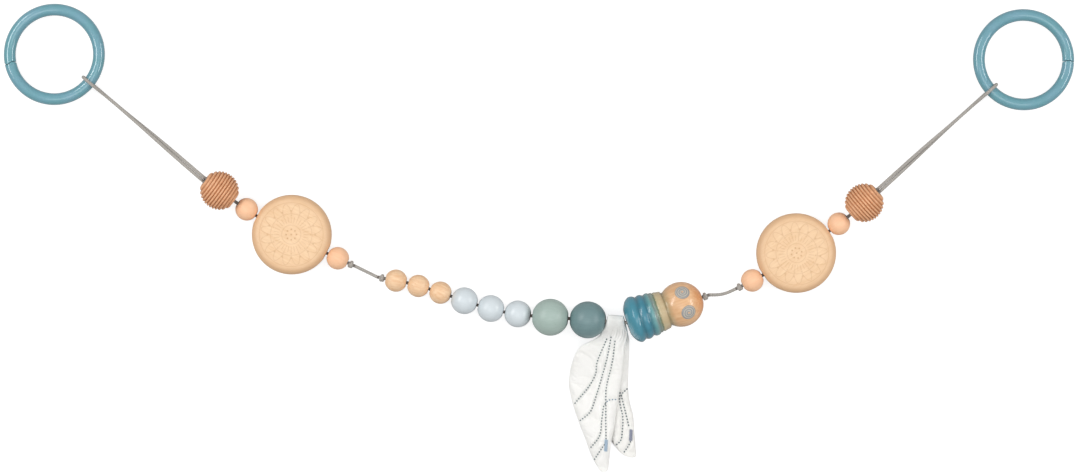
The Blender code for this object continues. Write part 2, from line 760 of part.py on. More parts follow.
def make_wing(builder, wing, parent, world, root_low):
    """Loft a wing from its rows. It leans back a little as it runs out from the tab."""
    shape = bmesh.new()
    rings = []
    for row in wing.rows:
        out = row[0] * wing.length
        lean = out * math.tan(math.radians(WING_LEAN))
        section = wing_section(wing, row, root_low)
        rings.append([shape.verts.new((x + lean, -out, z)) for x, z in section])
    count = len(rings[0])
    for first, second in zip(rings, rings[1:]):
        for i in range(count):
            j = (i + 1) % count
            shape.faces.new((first[i], first[j], second[j], second[i]))
    shape.faces.new(rings[0][::-1])
    shape.faces.new(rings[-1])
    bmesh.ops.recalc_face_normals(shape, faces=shape.faces)
    mesh = bpy.data.meshes.new(wing.name)
    shape.to_mesh(mesh)
    shape.free()
    shade(mesh, 60)
    builder.add(wing.name, mesh, "cloth", parent, world)


def make_wings(builder, start, end):
    """Hang the tab and both wings on the bare stretch of the teal bead's cord."""
    along = (end - start).normalized()
    middle = end - along * (TAB_TAIL_GAP + TAB_WIDTH / 2)
    along_level = Vector((along.x, along.y, 0)).normalized()
    level = frame_at(middle, along_level)
    sloped = level @ Matrix.Rotation(math.radians(TAB_SLOPE), 4, "X")
    swing = builder.empty("wings_swing", builder.links[WINGS_LINK], level)
    make_tab(builder, swing, sloped)
    foot = sloped @ Vector((0, -TAB_REACH - WING_HINGE_GAP / 2, 0))
    across_tip = sloped.to_3x3() @ UP
    spread = (TAB_TIP_THICKNESS - WING_ROOT_THICKNESS) / 2
    for wing in WINGS:
        root = foot + across_tip * (wing.side * spread)
        hinge_frame = frame_at(root, along_level)
        hinge = builder.empty(wing.name + "_flap", swing, hinge_frame)
        base = hinge_frame @ Matrix.Translation((wing.shift, -WING_HINGE_GAP / 2, 0))
        base.translation.z = 0
        make_wing(builder, wing, hinge, base, root.z - WING_ROOT_THICKNESS / 2)


def make_links(builder, places):
    """Model the links outwards from the root link, so that each hangs on the one before it."""
    names = [link.name for link in CHAIN]
    root = names.index(ROOT_LINK)
    builder.links = {}
    order = [root] + list(range(root - 1, -1, -1)) + list(range(root + 1, len(CHAIN)))
    for index in order:
        link = CHAIN[index]
        start, end, share = places[index]
        if index == root:
            parent, pivot = builder.frame, start
        elif index < root:
            parent, pivot = builder.links[names[index + 1]], end
        else:
            parent, pivot = builder.links[names[index - 1]], start
        joint = builder.empty(link.name + "_link", parent, frame_at(pivot, end - start))
        builder.links[link.name] = joint
        if link.bead is None:
            make_bare_cord(builder, link, joint, start, end)
            continue
        world = bead_matrix(link, start, end, share)
        axis = builder.empty(link.bead + "_spin", joint, world)
        make_bead(builder, link, axis, world)
        make_link_cord(builder, index, joint, start, end)
        make_knots(builder, link, joint, start, end)


def make_end(builder, side, mouth, link_name, loop_heading, ring_heading, seam):
    """Model the doubled cord and the snap ring at one end of the chain."""
    frame = ring_frame_at(mouth, loop_heading, ring_heading)
    swing = builder.empty(side + "_loop_swing", builder.links[link_name],
                          frame_at(mouth, heading_vector(loop_heading)))
    route = loop_route(mouth, loop_heading, frame)
    poly_tube(builder, side + "_hanging_loop", route, CORD_DIAMETER, LOOP_BEVEL_RESOLUTION, "cord",
              swing, builder.world[swing.name])
    make_ring(builder, side, swing, frame, ring_heading, seam)


def centre_on_floor(builder):
    """Move the whole chain so that its box stands on the origin."""
    bpy.context.view_layer.update()
    depsgraph = bpy.context.evaluated_depsgraph_get()
    low = Vector((math.inf,) * 3)
    high = -low
    for thing in builder.parts.objects:
        if thing.type == "EMPTY":
            continue
        evaluated = thing.evaluated_get(depsgraph)
        mesh = evaluated.to_mesh()
        for vertex in mesh.vertices:
            place = evaluated.matrix_world @ vertex.co
            low = Vector(map(min, low, place))
            high = Vector(map(max, high, place))
        evaluated.to_mesh_clear()
    middle = (low + high) / 2
    builder.frame.location = (-middle.x, -middle.y, -low.z)
    bpy.context.view_layer.update()


def main():
    """Build the whole toy."""
    clear_scene()
    builder = Builder()
    places = link_ends()
    make_links(builder, places)
    for link, (start, end, _) in zip(CHAIN, places):
        if link.name == WINGS_LINK:
            make_wings(builder, start, end)
    make_end(builder, "left", places[0][0], CHAIN[0].name, LEFT_LOOP_HEADING, LEFT_RING_HEADING,
             LEFT_SEAM_ANGLE)
    make_end(builder, "right", places[-1][1], CHAIN[-1].name, RIGHT_LOOP_HEADING, RIGHT_RING_HEADING,
             RIGHT_SEAM_ANGLE)
    centre_on_floor(builder)
    return builder


main()
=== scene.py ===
# %% [markdown]
# # Dressing a pram chain toy
# The CAD model gives the toy's solids, joints and sizes, and this lesson gives it its looks: turned
# and stained wood, a glazed dragonfly, sewn cloth wings, braided cord and glossy snap rings.
# Every length is in metres, and every piece is placed by the joints that the CAD model packed, so
# that it moves with them. First the frame is loaded.

# %% Load the frame
import json
import math
from collections import namedtuple

import bpy
import numpy as np
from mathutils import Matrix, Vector
from mathutils.bvhtree import BVHTree


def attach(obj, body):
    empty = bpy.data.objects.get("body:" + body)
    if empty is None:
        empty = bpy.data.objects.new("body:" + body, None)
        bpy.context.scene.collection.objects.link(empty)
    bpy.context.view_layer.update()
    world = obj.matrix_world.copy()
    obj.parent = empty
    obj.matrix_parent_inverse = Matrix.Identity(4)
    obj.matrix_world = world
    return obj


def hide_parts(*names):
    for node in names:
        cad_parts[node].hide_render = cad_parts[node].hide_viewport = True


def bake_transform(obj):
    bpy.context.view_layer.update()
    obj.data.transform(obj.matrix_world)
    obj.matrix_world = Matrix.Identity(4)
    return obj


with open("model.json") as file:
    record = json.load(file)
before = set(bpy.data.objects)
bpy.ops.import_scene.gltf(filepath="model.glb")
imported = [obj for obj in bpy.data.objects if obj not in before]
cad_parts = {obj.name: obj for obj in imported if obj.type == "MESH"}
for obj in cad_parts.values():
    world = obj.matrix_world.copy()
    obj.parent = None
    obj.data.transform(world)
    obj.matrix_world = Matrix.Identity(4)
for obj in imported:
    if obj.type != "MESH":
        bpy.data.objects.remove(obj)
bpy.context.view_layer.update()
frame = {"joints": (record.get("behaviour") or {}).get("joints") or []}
joints = {joint["name"]: joint for joint in frame["joints"]}
MM = 0.001
UP = np.array([0.0, 0.0, 1.0])


# %% [markdown]
# ## The camera
# The photograph looks straight down on the toy, so the camera hangs over it and its long lens keeps
# the beads round. The lens follows from the width of floor that the picture shows.

# %% Camera
CAMERA_HEIGHT = 2.5
VIEW_WIDTH = 0.5776
VIEW_CENTRE = (0.00056, 0.00096)
FOCUS_HEIGHT = 0.008
SENSOR_WIDTH = 36.0

camera_data = bpy.data.cameras.new("camera")
camera_data.sensor_width = SENSOR_WIDTH
camera_data.lens = SENSOR_WIDTH * (CAMERA_HEIGHT - FOCUS_HEIGHT) / VIEW_WIDTH
camera_data.clip_start = 0.1
camera_data.clip_end = 20.0
camera = bpy.data.objects.new("camera", camera_data)
camera.location = (*VIEW_CENTRE, CAMERA_HEIGHT)
bpy.context.scene.collection.objects.link(camera)
bpy.context.scene.camera = camera
print("lens", round(camera_data.lens, 1), "mm")


# %% [markdown]
# ## Small tools for surfaces
# Each piece is a surface worked out with numpy on a grid of two parameters, such as how far along
# a profile and how far round an axis. Whole arrays are computed at once, and one function puts
# them into a mesh. It turns the faces outwards by the sign of the volume that they enclose.

# %% Vectors and grids
def unit(vectors):
    """Each vector divided by its length."""
    return vectors / np.linalg.norm(vectors, axis=-1, keepdims=True)


def ease(share):
    """3 s^2 - 2 s^3, for s held between 0 and 1."""
    share = np.clip(share, 0, 1)
    return share * share * (3 - 2 * share)


def pivot(joint):
    """The point that a joint turns on."""
    return np.array(joints[joint]["pos_m"])


def turning_axis(joint):
    """The unit vector that a joint turns about."""
    return unit(np.array(joints[joint]["axis"]))


def square_to(axis):
    """Two directions square to an axis: a level one, and the axis's cross product with it."""
    side = unit(np.cross(UP, axis))
    return side, np.cross(axis, side)


def run_along(path):
    """How far along a path each of its points is."""
    return np.concatenate([[0], np.cumsum(np.linalg.norm(np.diff(path, axis=0), axis=1))])


def read_evenly(path, count):
    """A path's points read again at even steps of its own length."""
    run = run_along(path)
    even = np.linspace(0, run[-1], count)
    return np.stack([np.interp(even, run, column) for column in path.T], axis=1)


def grid_faces(rows, columns, rows_close=False, columns_close=True):
    """Quads between the neighbours of a grid, which may close in either direction."""
    down = np.arange(rows if rows_close else rows - 1)[:, None]
    across = np.arange(columns if columns_close else columns - 1)[None, :]
    below, right = (down + 1) % rows, (across + 1) % columns
    row, next_row = down * columns, below * columns
    corners = (row + across, row + right, next_row + right, next_row + across)
    return np.stack(np.broadcast_arrays(*corners), axis=-1).reshape(-1, 4)


def tube_faces(rows, columns):
    """Quads of a tube that is closed round its columns, and one flat face at each end."""
    first = np.arange(columns)[None, ::-1]
    last = (rows - 1) * columns + np.arange(columns)[None, :]
    return [grid_faces(rows, columns), first, last]


def volume(points, faces):
    """Volume inside closed faces: the sum of a . (b x c) / 6 over a fan of triangles."""
    total = 0.0
    for group in faces:
        first = points[group[:, 0]]
        for corner in range(1, group.shape[1] - 1):
            second, third = points[group[:, corner]], points[group[:, corner + 1]]
            total += np.einsum("ij,ij->", first, np.cross(second, third))
    return total / 6


# %% A piece from arrays
def fill_mesh(mesh, points, faces):
    """Put points and groups of faces into a mesh, with the faces turned outwards."""
    if volume(points, faces) < 0:
        faces = [group[:, ::-1] for group in faces]
    corners = np.concatenate([group.ravel() for group in faces])
    sizes = np.concatenate([np.full(len(group), group.shape[1]) for group in faces])
    mesh.vertices.add(len(points))
    mesh.vertices.foreach_set("co", points.astype(np.float32).ravel())
    mesh.loops.add(len(corners))
    mesh.loops.foreach_set("vertex_index", corners.astype(np.int32))
    mesh.polygons.add(len(sizes))
    mesh.polygons.foreach_set("loop_start", np.concatenate([[0], np.cumsum(sizes)[:-1]]).astype(np.int32))
    mesh.update(calc_edges=True)
    mesh.validate()


def new_piece(name, points, faces, material, place=None, sharp=None, **values):
    """An object at the origin with its place in its mesh.

    place is where each point lies in the piece's own grain or weave, in millimetres, and values are
    other numbers for each point that the material reads.
    """
    points = np.asarray(points, float).reshape(-1, 3)
    mesh = bpy.data.meshes.new(name)
    fill_mesh(mesh, points, [np.asarray(group) for group in faces])
    mesh.materials.append(material)
    mesh.shade_smooth()
    if sharp is not None:
        mesh.set_sharp_from_angle(angle=math.radians(sharp))
    place = points / MM if place is None else np.asarray(place, float).reshape(-1, 3)
    places = mesh.attributes.new("place", "FLOAT_VECTOR", "POINT")
    places.data.foreach_set("vector", place.astype(np.float32).ravel())
    for title, numbers in values.items():
        attribute = mesh.attributes.new(title, "FLOAT", "POINT")
        attribute.data.foreach_set("value", np.asarray(numbers, np.float32).ravel())
    piece = bpy.data.objects.new(name, mesh)
    bpy.context.scene.collection.objects.link(piece)
    return piece


def dress(piece, body, slot, *nodes):
    """The piece rides on a body and stands for CAD nodes. The slot is not used."""
    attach(piece, body)
    if nodes:
        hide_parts(*nodes)
    return piece


# %% Shapes turned about an axis, and shapes carried along a path
def spun(profile, steps, centre, axis):
    """Turn a profile of (radius, height) rows about an axis.

    point = centre + height * axis + radius * (cos a * side + sin a * top), where side is level
    and top is square to both.
    """
    side, top = square_to(axis)
    angle = np.linspace(0, math.tau, steps, endpoint=False)
    ring = np.cos(angle)[:, None] * side + np.sin(angle)[:, None] * top
    radius, height = profile.T
    points = centre + height[:, None, None] * axis + radius[:, None, None] * ring
    across, up = radius[:, None] * np.cos(angle), radius[:, None] * np.sin(angle)
    return points, np.stack(np.broadcast_arrays(across, up, height[:, None]), axis=-1)


def path_frame(path, reference):
    """Two directions square to a path at each of its points.

    The first is the reference with its part along the tangent taken away, and the second is the
    tangent's cross product with it.
    """
    tangent = unit(np.gradient(path, axis=0))
    reference = np.broadcast_to(np.asarray(reference, float), path.shape)
    first = unit(reference - np.einsum("ij,ij->i", reference, tangent)[:, None] * tangent)
    return first, np.cross(tangent, first)


# The rows of a round end, from its tip, by how far each one's face has turned
END_TURNS = np.radians([88, 66, 44, 22])


def with_ends(rows):
    """Rows with the first and the last repeated for each row of a round end."""
    more = len(END_TURNS)
    return np.concatenate([np.repeat(rows[:1], more, 0), rows, np.repeat(rows[-1:], more, 0)])


def carried(path, radius, reference):
    """A tube carried along a path, with the radius given at each row and side.

    point = path + radius * (cos a * first + sin a * second). A round end adds rows that shrink
    as the cosine of an angle while they move out as its sine.
    """
    first, second = (with_ends(rows) for rows in path_frame(path, reference))
    angle = np.linspace(0, math.tau, radius.shape[1], endpoint=False)
    shrink, move = np.cos(END_TURNS)[:, None], np.sin(END_TURNS)[:, None]
    before = path[0] + move * radius[0].mean() * unit(path[0] - path[1])
    after = path[-1] + move[::-1] * radius[-1].mean() * unit(path[-1] - path[-2])
    path = np.concatenate([before, path, after])
    radius = np.concatenate([shrink * radius[:1], radius, shrink[::-1] * radius[-1:]])
    ring = np.cos(angle)[None, :, None] * first[:, None] + np.sin(angle)[None, :, None] * second[:, None]
    run = run_along(path)[:, None]
    local = np.stack(np.broadcast_arrays(radius * np.cos(angle), radius * np.sin(angle), run), axis=-1)
    return path[:, None] + radius[..., None] * ring, local


# %% [markdown]
# ## Effects that several materials share
# Wood grain, a fine mottle and a weave each show up on more than one finish, so each is a node
# group with named sockets. All of them read the attribute "place", the millimetres in the piece's
# own frame, so that the grain runs along every bead's bore and the weave stays on the cloth when
# a joint moves. The groups give out masks and heights only, and the shader stays in the material.

# %% Node group tools
def new_group(name, inputs, outputs):
    """A shader node group with float inputs and outputs, and its place attribute."""
    tree = bpy.data.node_groups.new(name, "ShaderNodeTree")
    for title, value in inputs.items():
        socket = tree.interface.new_socket(title, in_out="INPUT", socket_type="NodeSocketFloat")
        socket.default_value = value
    for title in outputs:
        tree.interface.new_socket(title, in_out="OUTPUT", socket_type="NodeSocketFloat")
    ends = tree.nodes.new("NodeGroupInput"), tree.nodes.new("NodeGroupOutput")
    return tree, *ends


def add(tree, kind, settings=None, **sockets):
    """A node with its settings, and each named socket set to a value or linked to an output."""
    node = tree.nodes.new("ShaderNode" + kind)
    for title, value in (settings or {}).items():
        setattr(node, title, value)
    for title, value in sockets.items():
        socket = node.inputs[int(title[1:])] if title[1:].isdigit() else node.inputs[title.replace("_", " ")]
        if isinstance(value, bpy.types.NodeSocket):
            tree.links.new(value, socket)
        else:
            socket.default_value = value
    return node


def maths(tree, operation, *values, clamp=False):
    """A Math node on values or outputs."""
    numbered = {f"n{i}": value for i, value in enumerate(values)}
    return add(tree, "Math", {"operation": operation, "use_clamp": clamp}, **numbered).outputs[0]


def attribute(tree, name, output="Fac"):
    """An attribute of the piece's mesh."""
    return add(tree, "Attribute", {"attribute_name": name}).outputs[output]


# %% Wood grain
def wood_grain_group():
    """Fine streaks and slow growth bands along the bore, and pores as short dark dashes.

    The place is squeezed across the grain and stretched along it before the noise reads it.
    """
    inputs = {"Streak size": 0.9, "Stretch": 9.0, "Band size": 3.2, "Seed": 0.0}
    tree, given, out = new_group("wood_grain", inputs, ("Streaks", "Bands", "Pores", "Height"))
    place = attribute(tree, "place", "Vector")
    parts = add(tree, "SeparateXYZ", Vector=place)
    along = maths(tree, "DIVIDE", parts.outputs["Z"], given.outputs["Stretch"])
    squeezed = add(tree, "CombineXYZ", X=parts.outputs["X"], Y=parts.outputs["Y"], Z=along).outputs[0]
    streak_scale = maths(tree, "DIVIDE", 1.0, given.outputs["Streak size"])
    band_scale = maths(tree, "DIVIDE", 1.0, given.outputs["Band size"])
    four = {"noise_dimensions": "4D"}
    fine = add(tree, "TexNoise", four, Vector=squeezed, W=given.outputs["Seed"], Scale=streak_scale,
               Detail=3.0, Roughness=0.55).outputs["Fac"]
    slow = add(tree, "TexNoise", four, Vector=squeezed, W=given.outputs["Seed"], Scale=band_scale,
               Detail=1.0, Roughness=0.4, Distortion=0.6).outputs["Fac"]
    waves = maths(tree, "SINE", maths(tree, "MULTIPLY", slow, 26.0))
    bands = maths(tree, "MULTIPLY_ADD", waves, 0.5, 0.5)
    pore_scale = maths(tree, "MULTIPLY", streak_scale, 3.0)
    pore = add(tree, "TexNoise", four, Vector=squeezed, W=given.outputs["Seed"], Scale=pore_scale,
               Detail=0.0).outputs["Fac"]
    pores = add(tree, "MapRange", Value=pore, n1=0.66, n2=0.74).outputs[0]
    streaks = add(tree, "MapRange", Value=fine, n1=0.32, n2=0.68).outputs[0]
    height = maths(tree, "SUBTRACT", maths(tree, "MULTIPLY_ADD", bands, 0.3, streaks), pores)
    for title, value in zip(("Streaks", "Bands", "Pores", "Height"), (streaks, bands, pores, height)):
        tree.links.new(value, out.inputs[title])
    return tree


# %% Mottle and weave
def mottle_group():
    """Clouds a few millimetres across, and specks of dust or pinholes, both from noise."""
    tree, given, out = new_group("mottle", {"Cloud size": 6.0, "Speck size": 0.35}, ("Clouds", "Specks"))
    place = attribute(tree, "place", "Vector")
    cloud_scale = maths(tree, "DIVIDE", 1.0, given.outputs["Cloud size"])
    clouds = add(tree, "TexNoise", Vector=place, Scale=cloud_scale, Detail=3.0).outputs["Fac"]
    speck_scale = maths(tree, "DIVIDE", 1.0, given.outputs["Speck size"])
    speck = add(tree, "TexNoise", Vector=place, Scale=speck_scale, Detail=0.0).outputs["Fac"]
    tree.links.new(add(tree, "MapRange", Value=clouds, n1=0.3, n2=0.7).outputs[0], out.inputs["Clouds"])
    tree.links.new(add(tree, "MapRange", Value=speck, n1=0.68, n2=0.78).outputs[0], out.inputs["Specks"])
    return tree


def weave_group():
    """Plain weave: threads along x and along y take turns on top.

    The height is |sin| of each thread's count, and a checkerboard of the two counts picks which
    one shows. Noise makes some threads thicker, as slubs do.
    """
    tree, given, out = new_group("weave", {"Thread": 0.32}, ("Height",))
    place = attribute(tree, "place", "Vector")
    parts = add(tree, "SeparateXYZ", Vector=place)
    rate = maths(tree, "DIVIDE", math.pi, given.outputs["Thread"])
    phases = [maths(tree, "MULTIPLY", parts.outputs[way], rate) for way in ("X", "Y")]
    ridges = [maths(tree, "ABSOLUTE", maths(tree, "SINE", phase)) for phase in phases]
    cells = [maths(tree, "FLOOR", maths(tree, "DIVIDE", phase, math.pi)) for phase in phases]
    turn = maths(tree, "PINGPONG", maths(tree, "ADD", *cells), 1.0)
    warp = maths(tree, "MULTIPLY", ridges[0], turn)
    weft = maths(tree, "MULTIPLY", ridges[1], maths(tree, "SUBTRACT", 1.0, turn))
    slubs = add(tree, "TexNoise", Vector=place, Scale=0.5, Detail=2.0).outputs["Fac"]
    height = maths(tree, "MULTIPLY_ADD", slubs, 0.5, maths(tree, "ADD", warp, weft))
    tree.links.new(height, out.inputs["Height"])
    return tree


GROUPS = {"wood_grain": wood_grain_group(), "mottle": mottle_group(), "weave": weave_group()}
print("groups", sorted(GROUPS))


# %% [markdown]
# ## Finishes
# Colours are written as they look in a picture and are made linear here. Every finish starts from
# its base colour, lets a group's masks darken or lighten it, and turns a height into a fine bump.

# %% Colour and material tools
def linear(code):
    """The linear colour of a six-digit picture colour."""
    shares = np.array([int(code[i:i + 2], 16) for i in (0, 2, 4)]) / 255
    low, high = shares / 12.92, ((shares + 0.055) / 1.055) ** 2.4
    return (*np.where(shares <= 0.04045, low, high), 1.0)


def grouped(tree, name, **values):
    """One of the shared groups, with its own values."""
    node = add(tree, "Group", {"node_tree": GROUPS[name]})
    for title, value in values.items():
        node.inputs[title.replace("_", " ")].default_value = value
    return node.outputs


def blend_colour(tree, share, first, second):
    """Mix two colours by a share."""
    return add(tree, "Mix", {"data_type": "RGBA"}, n0=share, n6=first, n7=second).outputs[2]


def new_material(name, roughness, **sockets):
    """A material with its Principled shader's own sockets set, and its tree."""
    material = bpy.data.materials.new(name)
    material.use_nodes = True
    tree = material.node_tree
    shader = tree.nodes["Principled BSDF"]
    shader.inputs["Roughness"].default_value = roughness
    for title, value in sockets.items():
        shader.inputs[title.replace("_", " ")].default_value = value
    return material, tree, shader


def raise_surface(tree, shader, height, distance):
    """Feed a height to the shader's normal through a Bump node."""
    bump = add(tree, "Bump", Strength=1.0, Distance=distance, Height=height)
    tree.links.new(bump.outputs[0], shader.inputs["Normal"])


# %% Wood, stained and bare
WOOD_RELIEF = 0.02 * MM


def wood(name, light, dark, roughness, seed, grain, coat=0.0, coat_roughness=0.2, recess_shade_and_burn="5a3a2a", rim=None):
    """Turned wood: streaks and bands darken the light colour, and pores darken it more.

    Each piece has an attribute that is 1 in its bore and at the bottom of its grooves, where a painted shade
    colour darkens it, and on a disc that colour is also the burnt colour of its engraved lines. A disc has
    one more for its rim, where painted shade darkens the rim as it turns down and the face near it.
    """
    material, tree, shader = new_material(name, roughness, Coat_Weight=coat, Coat_Roughness=coat_roughness)
    masks = grouped(tree, "wood_grain", Seed=seed)
    mottle = grouped(tree, "mottle", Cloud_size=5.0)
    depth = maths(tree, "MULTIPLY_ADD", masks["Bands"], 0.35, maths(tree, "MULTIPLY", masks["Streaks"], 0.65))
    depth = maths(tree, "MULTIPLY", depth, grain)
    depth = maths(tree, "MULTIPLY_ADD", mottle["Clouds"], grain * 0.3, depth)
    depth = maths(tree, "MULTIPLY_ADD", masks["Pores"], grain * 0.5, depth, clamp=True)
    colour = blend_colour(tree, depth, linear(light), linear(dark))
    # Painted shade on a disc's rim and the face near it
    if rim:
        colour = blend_colour(tree, attribute(tree, "rim"), colour, linear(rim))
    # Painted shade in bores and grooves, and on the discs the burnt colour of the engraved lines
    colour = blend_colour(tree, attribute(tree, "groove"), colour, linear(recess_shade_and_burn))
    tree.links.new(colour, shader.inputs["Base Color"])
    rough = maths(tree, "MULTIPLY_ADD", masks["Streaks"], 0.08, roughness - 0.04)
    tree.links.new(rough, shader.inputs["Roughness"])
    raise_surface(tree, shader, masks["Height"], WOOD_RELIEF)
    return material


CORAL = wood("coral_stain", "fecda6", "f5ba8e", 0.5, 1.0, grain=0.45)
NATURAL = wood("natural_beech", "fad9b4", "ebbb8d", 0.48, 2.0, grain=0.8, coat=0.08)
RIBBED = wood("ribbed_beech", "f3bd93", "d99a6c", 0.55, 3.0, grain=0.7, recess_shade_and_burn="b5754a")
DISC = wood("disc_maple", "f6d5af", "e8bf92", 0.5, 4.0, grain=0.7, recess_shade_and_burn="c9976a", rim="e3b98f")
BLUE = wood("pale_blue_lacquer", "d8e0e4", "cfd9de", 0.3, 5.0, grain=0.3, coat=0.35)
SAGE = wood("sage_stain", "abbdb6", "9cb2a8", 0.4, 6.0, grain=0.5, coat=0.15, coat_roughness=0.3)
TEAL = wood("teal_grey_stain", "759193", "668386", 0.4, 7.0, grain=0.5, coat=0.15, coat_roughness=0.3)


# %% Dragonfly glaze
# Place along the body as a share of its length, and the glaze's colour there
GLAZE_STOPS = (
    (0.0, "4b94a7"), (0.27, "418aa1"), (0.34, "6ea6a8"), (0.375, "96a5a0"), (0.398, "8ba08e"),
    (0.41, "7f9076"), (0.424, "cabc96"), (0.50, "cdb994"), (0.535, "c2ae86"), (0.60, "e8bd90"),
    (0.86, "f3c596"), (0.95, "eeac74"), (1.0, "e59c62"),
)
GLAZE_RELIEF = 0.015 * MM


def dragonfly_wood():
    """Bare wood at the head, and a glaze that thickens from khaki to teal towards the tail.

    A colour ramp reads how far along the body a point is. The glaze is glossier than the wood.
    """
    material, tree, shader = new_material("dragonfly_glaze", 0.3, Coat_Weight=0.55, Coat_Roughness=0.1)
    masks = grouped(tree, "wood_grain", Seed=8.0, Streak_size=1.1)
    along = attribute(tree, "along")
    shift = maths(tree, "MULTIPLY_ADD", masks["Streaks"], 0.02, maths(tree, "SUBTRACT", along, 0.01))
    ramp = add(tree, "ValToRGB", Fac=shift)
    stops = ramp.color_ramp.elements
    stops[0].color, stops[1].color = linear(GLAZE_STOPS[0][1]), linear(GLAZE_STOPS[-1][1])
    for share, code in GLAZE_STOPS[1:-1]:
        stops.new(share).color = linear(code)
    darker = add(tree, "Mix", {"data_type": "RGBA", "blend_type": "MULTIPLY"}, n0=0.0, n6=ramp.outputs[0],
                 n7=linear("d8b48c"))
    grain = maths(tree, "MULTIPLY_ADD", masks["Bands"], 0.2, maths(tree, "MULTIPLY", masks["Streaks"], 0.25))
    bare = add(tree, "MapRange", Value=along, n1=0.42, n2=0.58, n3=0.25, n4=1.0).outputs[0]
    tree.links.new(maths(tree, "MULTIPLY", grain, bare), darker.inputs[0])
    # Painted shade: the glaze is darker in the body's grooves, and the bore is painted dark brown
    groove = attribute(tree, "groove")
    colour = add(tree, "Mix", {"data_type": "RGBA", "blend_type": "MULTIPLY"}, n6=darker.outputs[2],
                 n7=linear("8aa3a0"))
    tree.links.new(maths(tree, "MULTIPLY", groove, 0.45), colour.inputs[0])
    bored = blend_colour(tree, attribute(tree, "bore"), colour.outputs[2], linear("55392a"))
    tree.links.new(bored, shader.inputs["Base Color"])
    rough = add(tree, "MapRange", Value=along, n1=0.45, n2=0.65, n3=0.16, n4=0.4)
    tree.links.new(rough.outputs[0], shader.inputs["Roughness"])
    parts = add(tree, "SeparateXYZ", Vector=attribute(tree, "place", "Vector"))
    round_it = [maths(tree, "MULTIPLY", parts.outputs[way], 0.12) for way in ("X", "Y")]
    turned = add(tree, "CombineXYZ", X=round_it[0], Y=round_it[1], Z=parts.outputs["Z"]).outputs[0]
    marks = add(tree, "TexNoise", Vector=turned, Scale=1.9, Detail=2.0).outputs["Fac"]
    lumps = grouped(tree, "mottle", Cloud_size=3.0)["Clouds"]
    glazed = maths(tree, "SUBTRACT", 1.1, bare)
    uneven = maths(tree, "MULTIPLY_ADD", marks, 11.0, maths(tree, "MULTIPLY", lumps, 2.0))
    height = maths(tree, "MULTIPLY_ADD", masks["Height"], bare, maths(tree, "MULTIPLY", uneven, glazed))
    raise_surface(tree, shader, height, GLAZE_RELIEF)
    return material


DRAGONFLY = dragonfly_wood()


# %% Eye paint, ring plastic, cord, cloth and thread
PAINT_RELIEF = 0.02 * MM
FLOW_RELIEF = FIBRE_RELIEF = 0.03 * MM
WEAVE_RELIEF = 0.04 * MM


def eye_paint():
    """Grey paint whose raised spiral is rubbed lighter, round a middle of bare wood."""
    material, tree, shader = new_material("eye_paint", 0.45)
    clouds = grouped(tree, "mottle", Cloud_size=1.5)["Clouds"]
    grey = blend_colour(tree, maths(tree, "MULTIPLY", clouds, 0.5), linear("9b9c9b"), linear("85878a"))
    lines = blend_colour(tree, attribute(tree, "ridge"), grey, linear("cdc4b5"))
    colour = blend_colour(tree, attribute(tree, "middle"), lines, linear("e0b488"))
    tree.links.new(colour, shader.inputs["Base Color"])
    raise_surface(tree, shader, clouds, PAINT_RELIEF)
    return material


def ring_plastic():
    """Glossy moulded plastic with faint flow clouds and pinpoint dust."""
    material, tree, shader = new_material("ring_plastic", 0.2, Coat_Weight=0.8, Coat_Roughness=0.07)
    masks = grouped(tree, "mottle", Cloud_size=9.0, Speck_size=0.3)
    colour = blend_colour(tree, masks["Clouds"], linear("629ca6"), linear("6f9fb0"))
    colour = blend_colour(tree, maths(tree, "MULTIPLY", masks["Specks"], 0.25), colour, linear("9dc0c6"))
    tree.links.new(colour, shader.inputs["Base Color"])
    rough = maths(tree, "MULTIPLY_ADD", masks["Clouds"], 0.08, 0.16)
    tree.links.new(rough, shader.inputs["Roughness"])
    raise_surface(tree, shader, masks["Clouds"], FLOW_RELIEF)
    return material


def cord_fibre(name, light, dark, fibre=0.12):
    """Braided fibre: hairs run along the strand as stretched noise, and the braid's hollows are darker, as
    painted shade.

    The cord has painted shade where it runs into a bead, the dark of the gap between beads, which an
    attribute marks.
    """
    material, tree, shader = new_material(name, 0.8, Sheen_Weight=0.15, Sheen_Roughness=0.5)
    masks = grouped(tree, "wood_grain", Seed=9.0, Streak_size=fibre, Stretch=6.0)
    # Painted shade in the braid's hollows
    hollow = maths(tree, "MULTIPLY", attribute(tree, "hollow"), 0.6)
    deep = maths(tree, "MULTIPLY_ADD", masks["Streaks"], 0.5, hollow)
    colour = blend_colour(tree, deep, linear(light), linear(dark))
    # Painted shade where the cord runs into a bead
    colour = blend_colour(tree, attribute(tree, "grime"), colour, linear("4f4038"))
    tree.links.new(colour, shader.inputs["Base Color"])
    raise_surface(tree, shader, masks["Streaks"], FIBRE_RELIEF)
    return material


def wing_cloth():
    """Off-white cotton in a plain weave, with slow clouds where the light comes through the padding."""
    material, tree, shader = new_material("wing_cotton", 0.85, Sheen_Weight=0.2, Sheen_Roughness=0.4)
    weave = grouped(tree, "weave", Thread=0.34)
    clouds = grouped(tree, "mottle", Cloud_size=11.0)["Clouds"]
    colour = blend_colour(tree, clouds, linear("fdfcf9"), linear("f7f6f2"))
    # The fold attribute is painted shade in the hollows of the gathers and on the back wing; the vein
    # attribute tints the cloth along the veins
    for title, strength, code in (("fold", 0.35, "d9d5cc"), ("vein", 0.2, "b4bdbc")):
        share = maths(tree, "MULTIPLY", attribute(tree, title), strength)
        colour = blend_colour(tree, share, colour, linear(code))
    tree.links.new(colour, shader.inputs["Base Color"])
    raise_surface(tree, shader, weave["Height"], WEAVE_RELIEF)
    return material


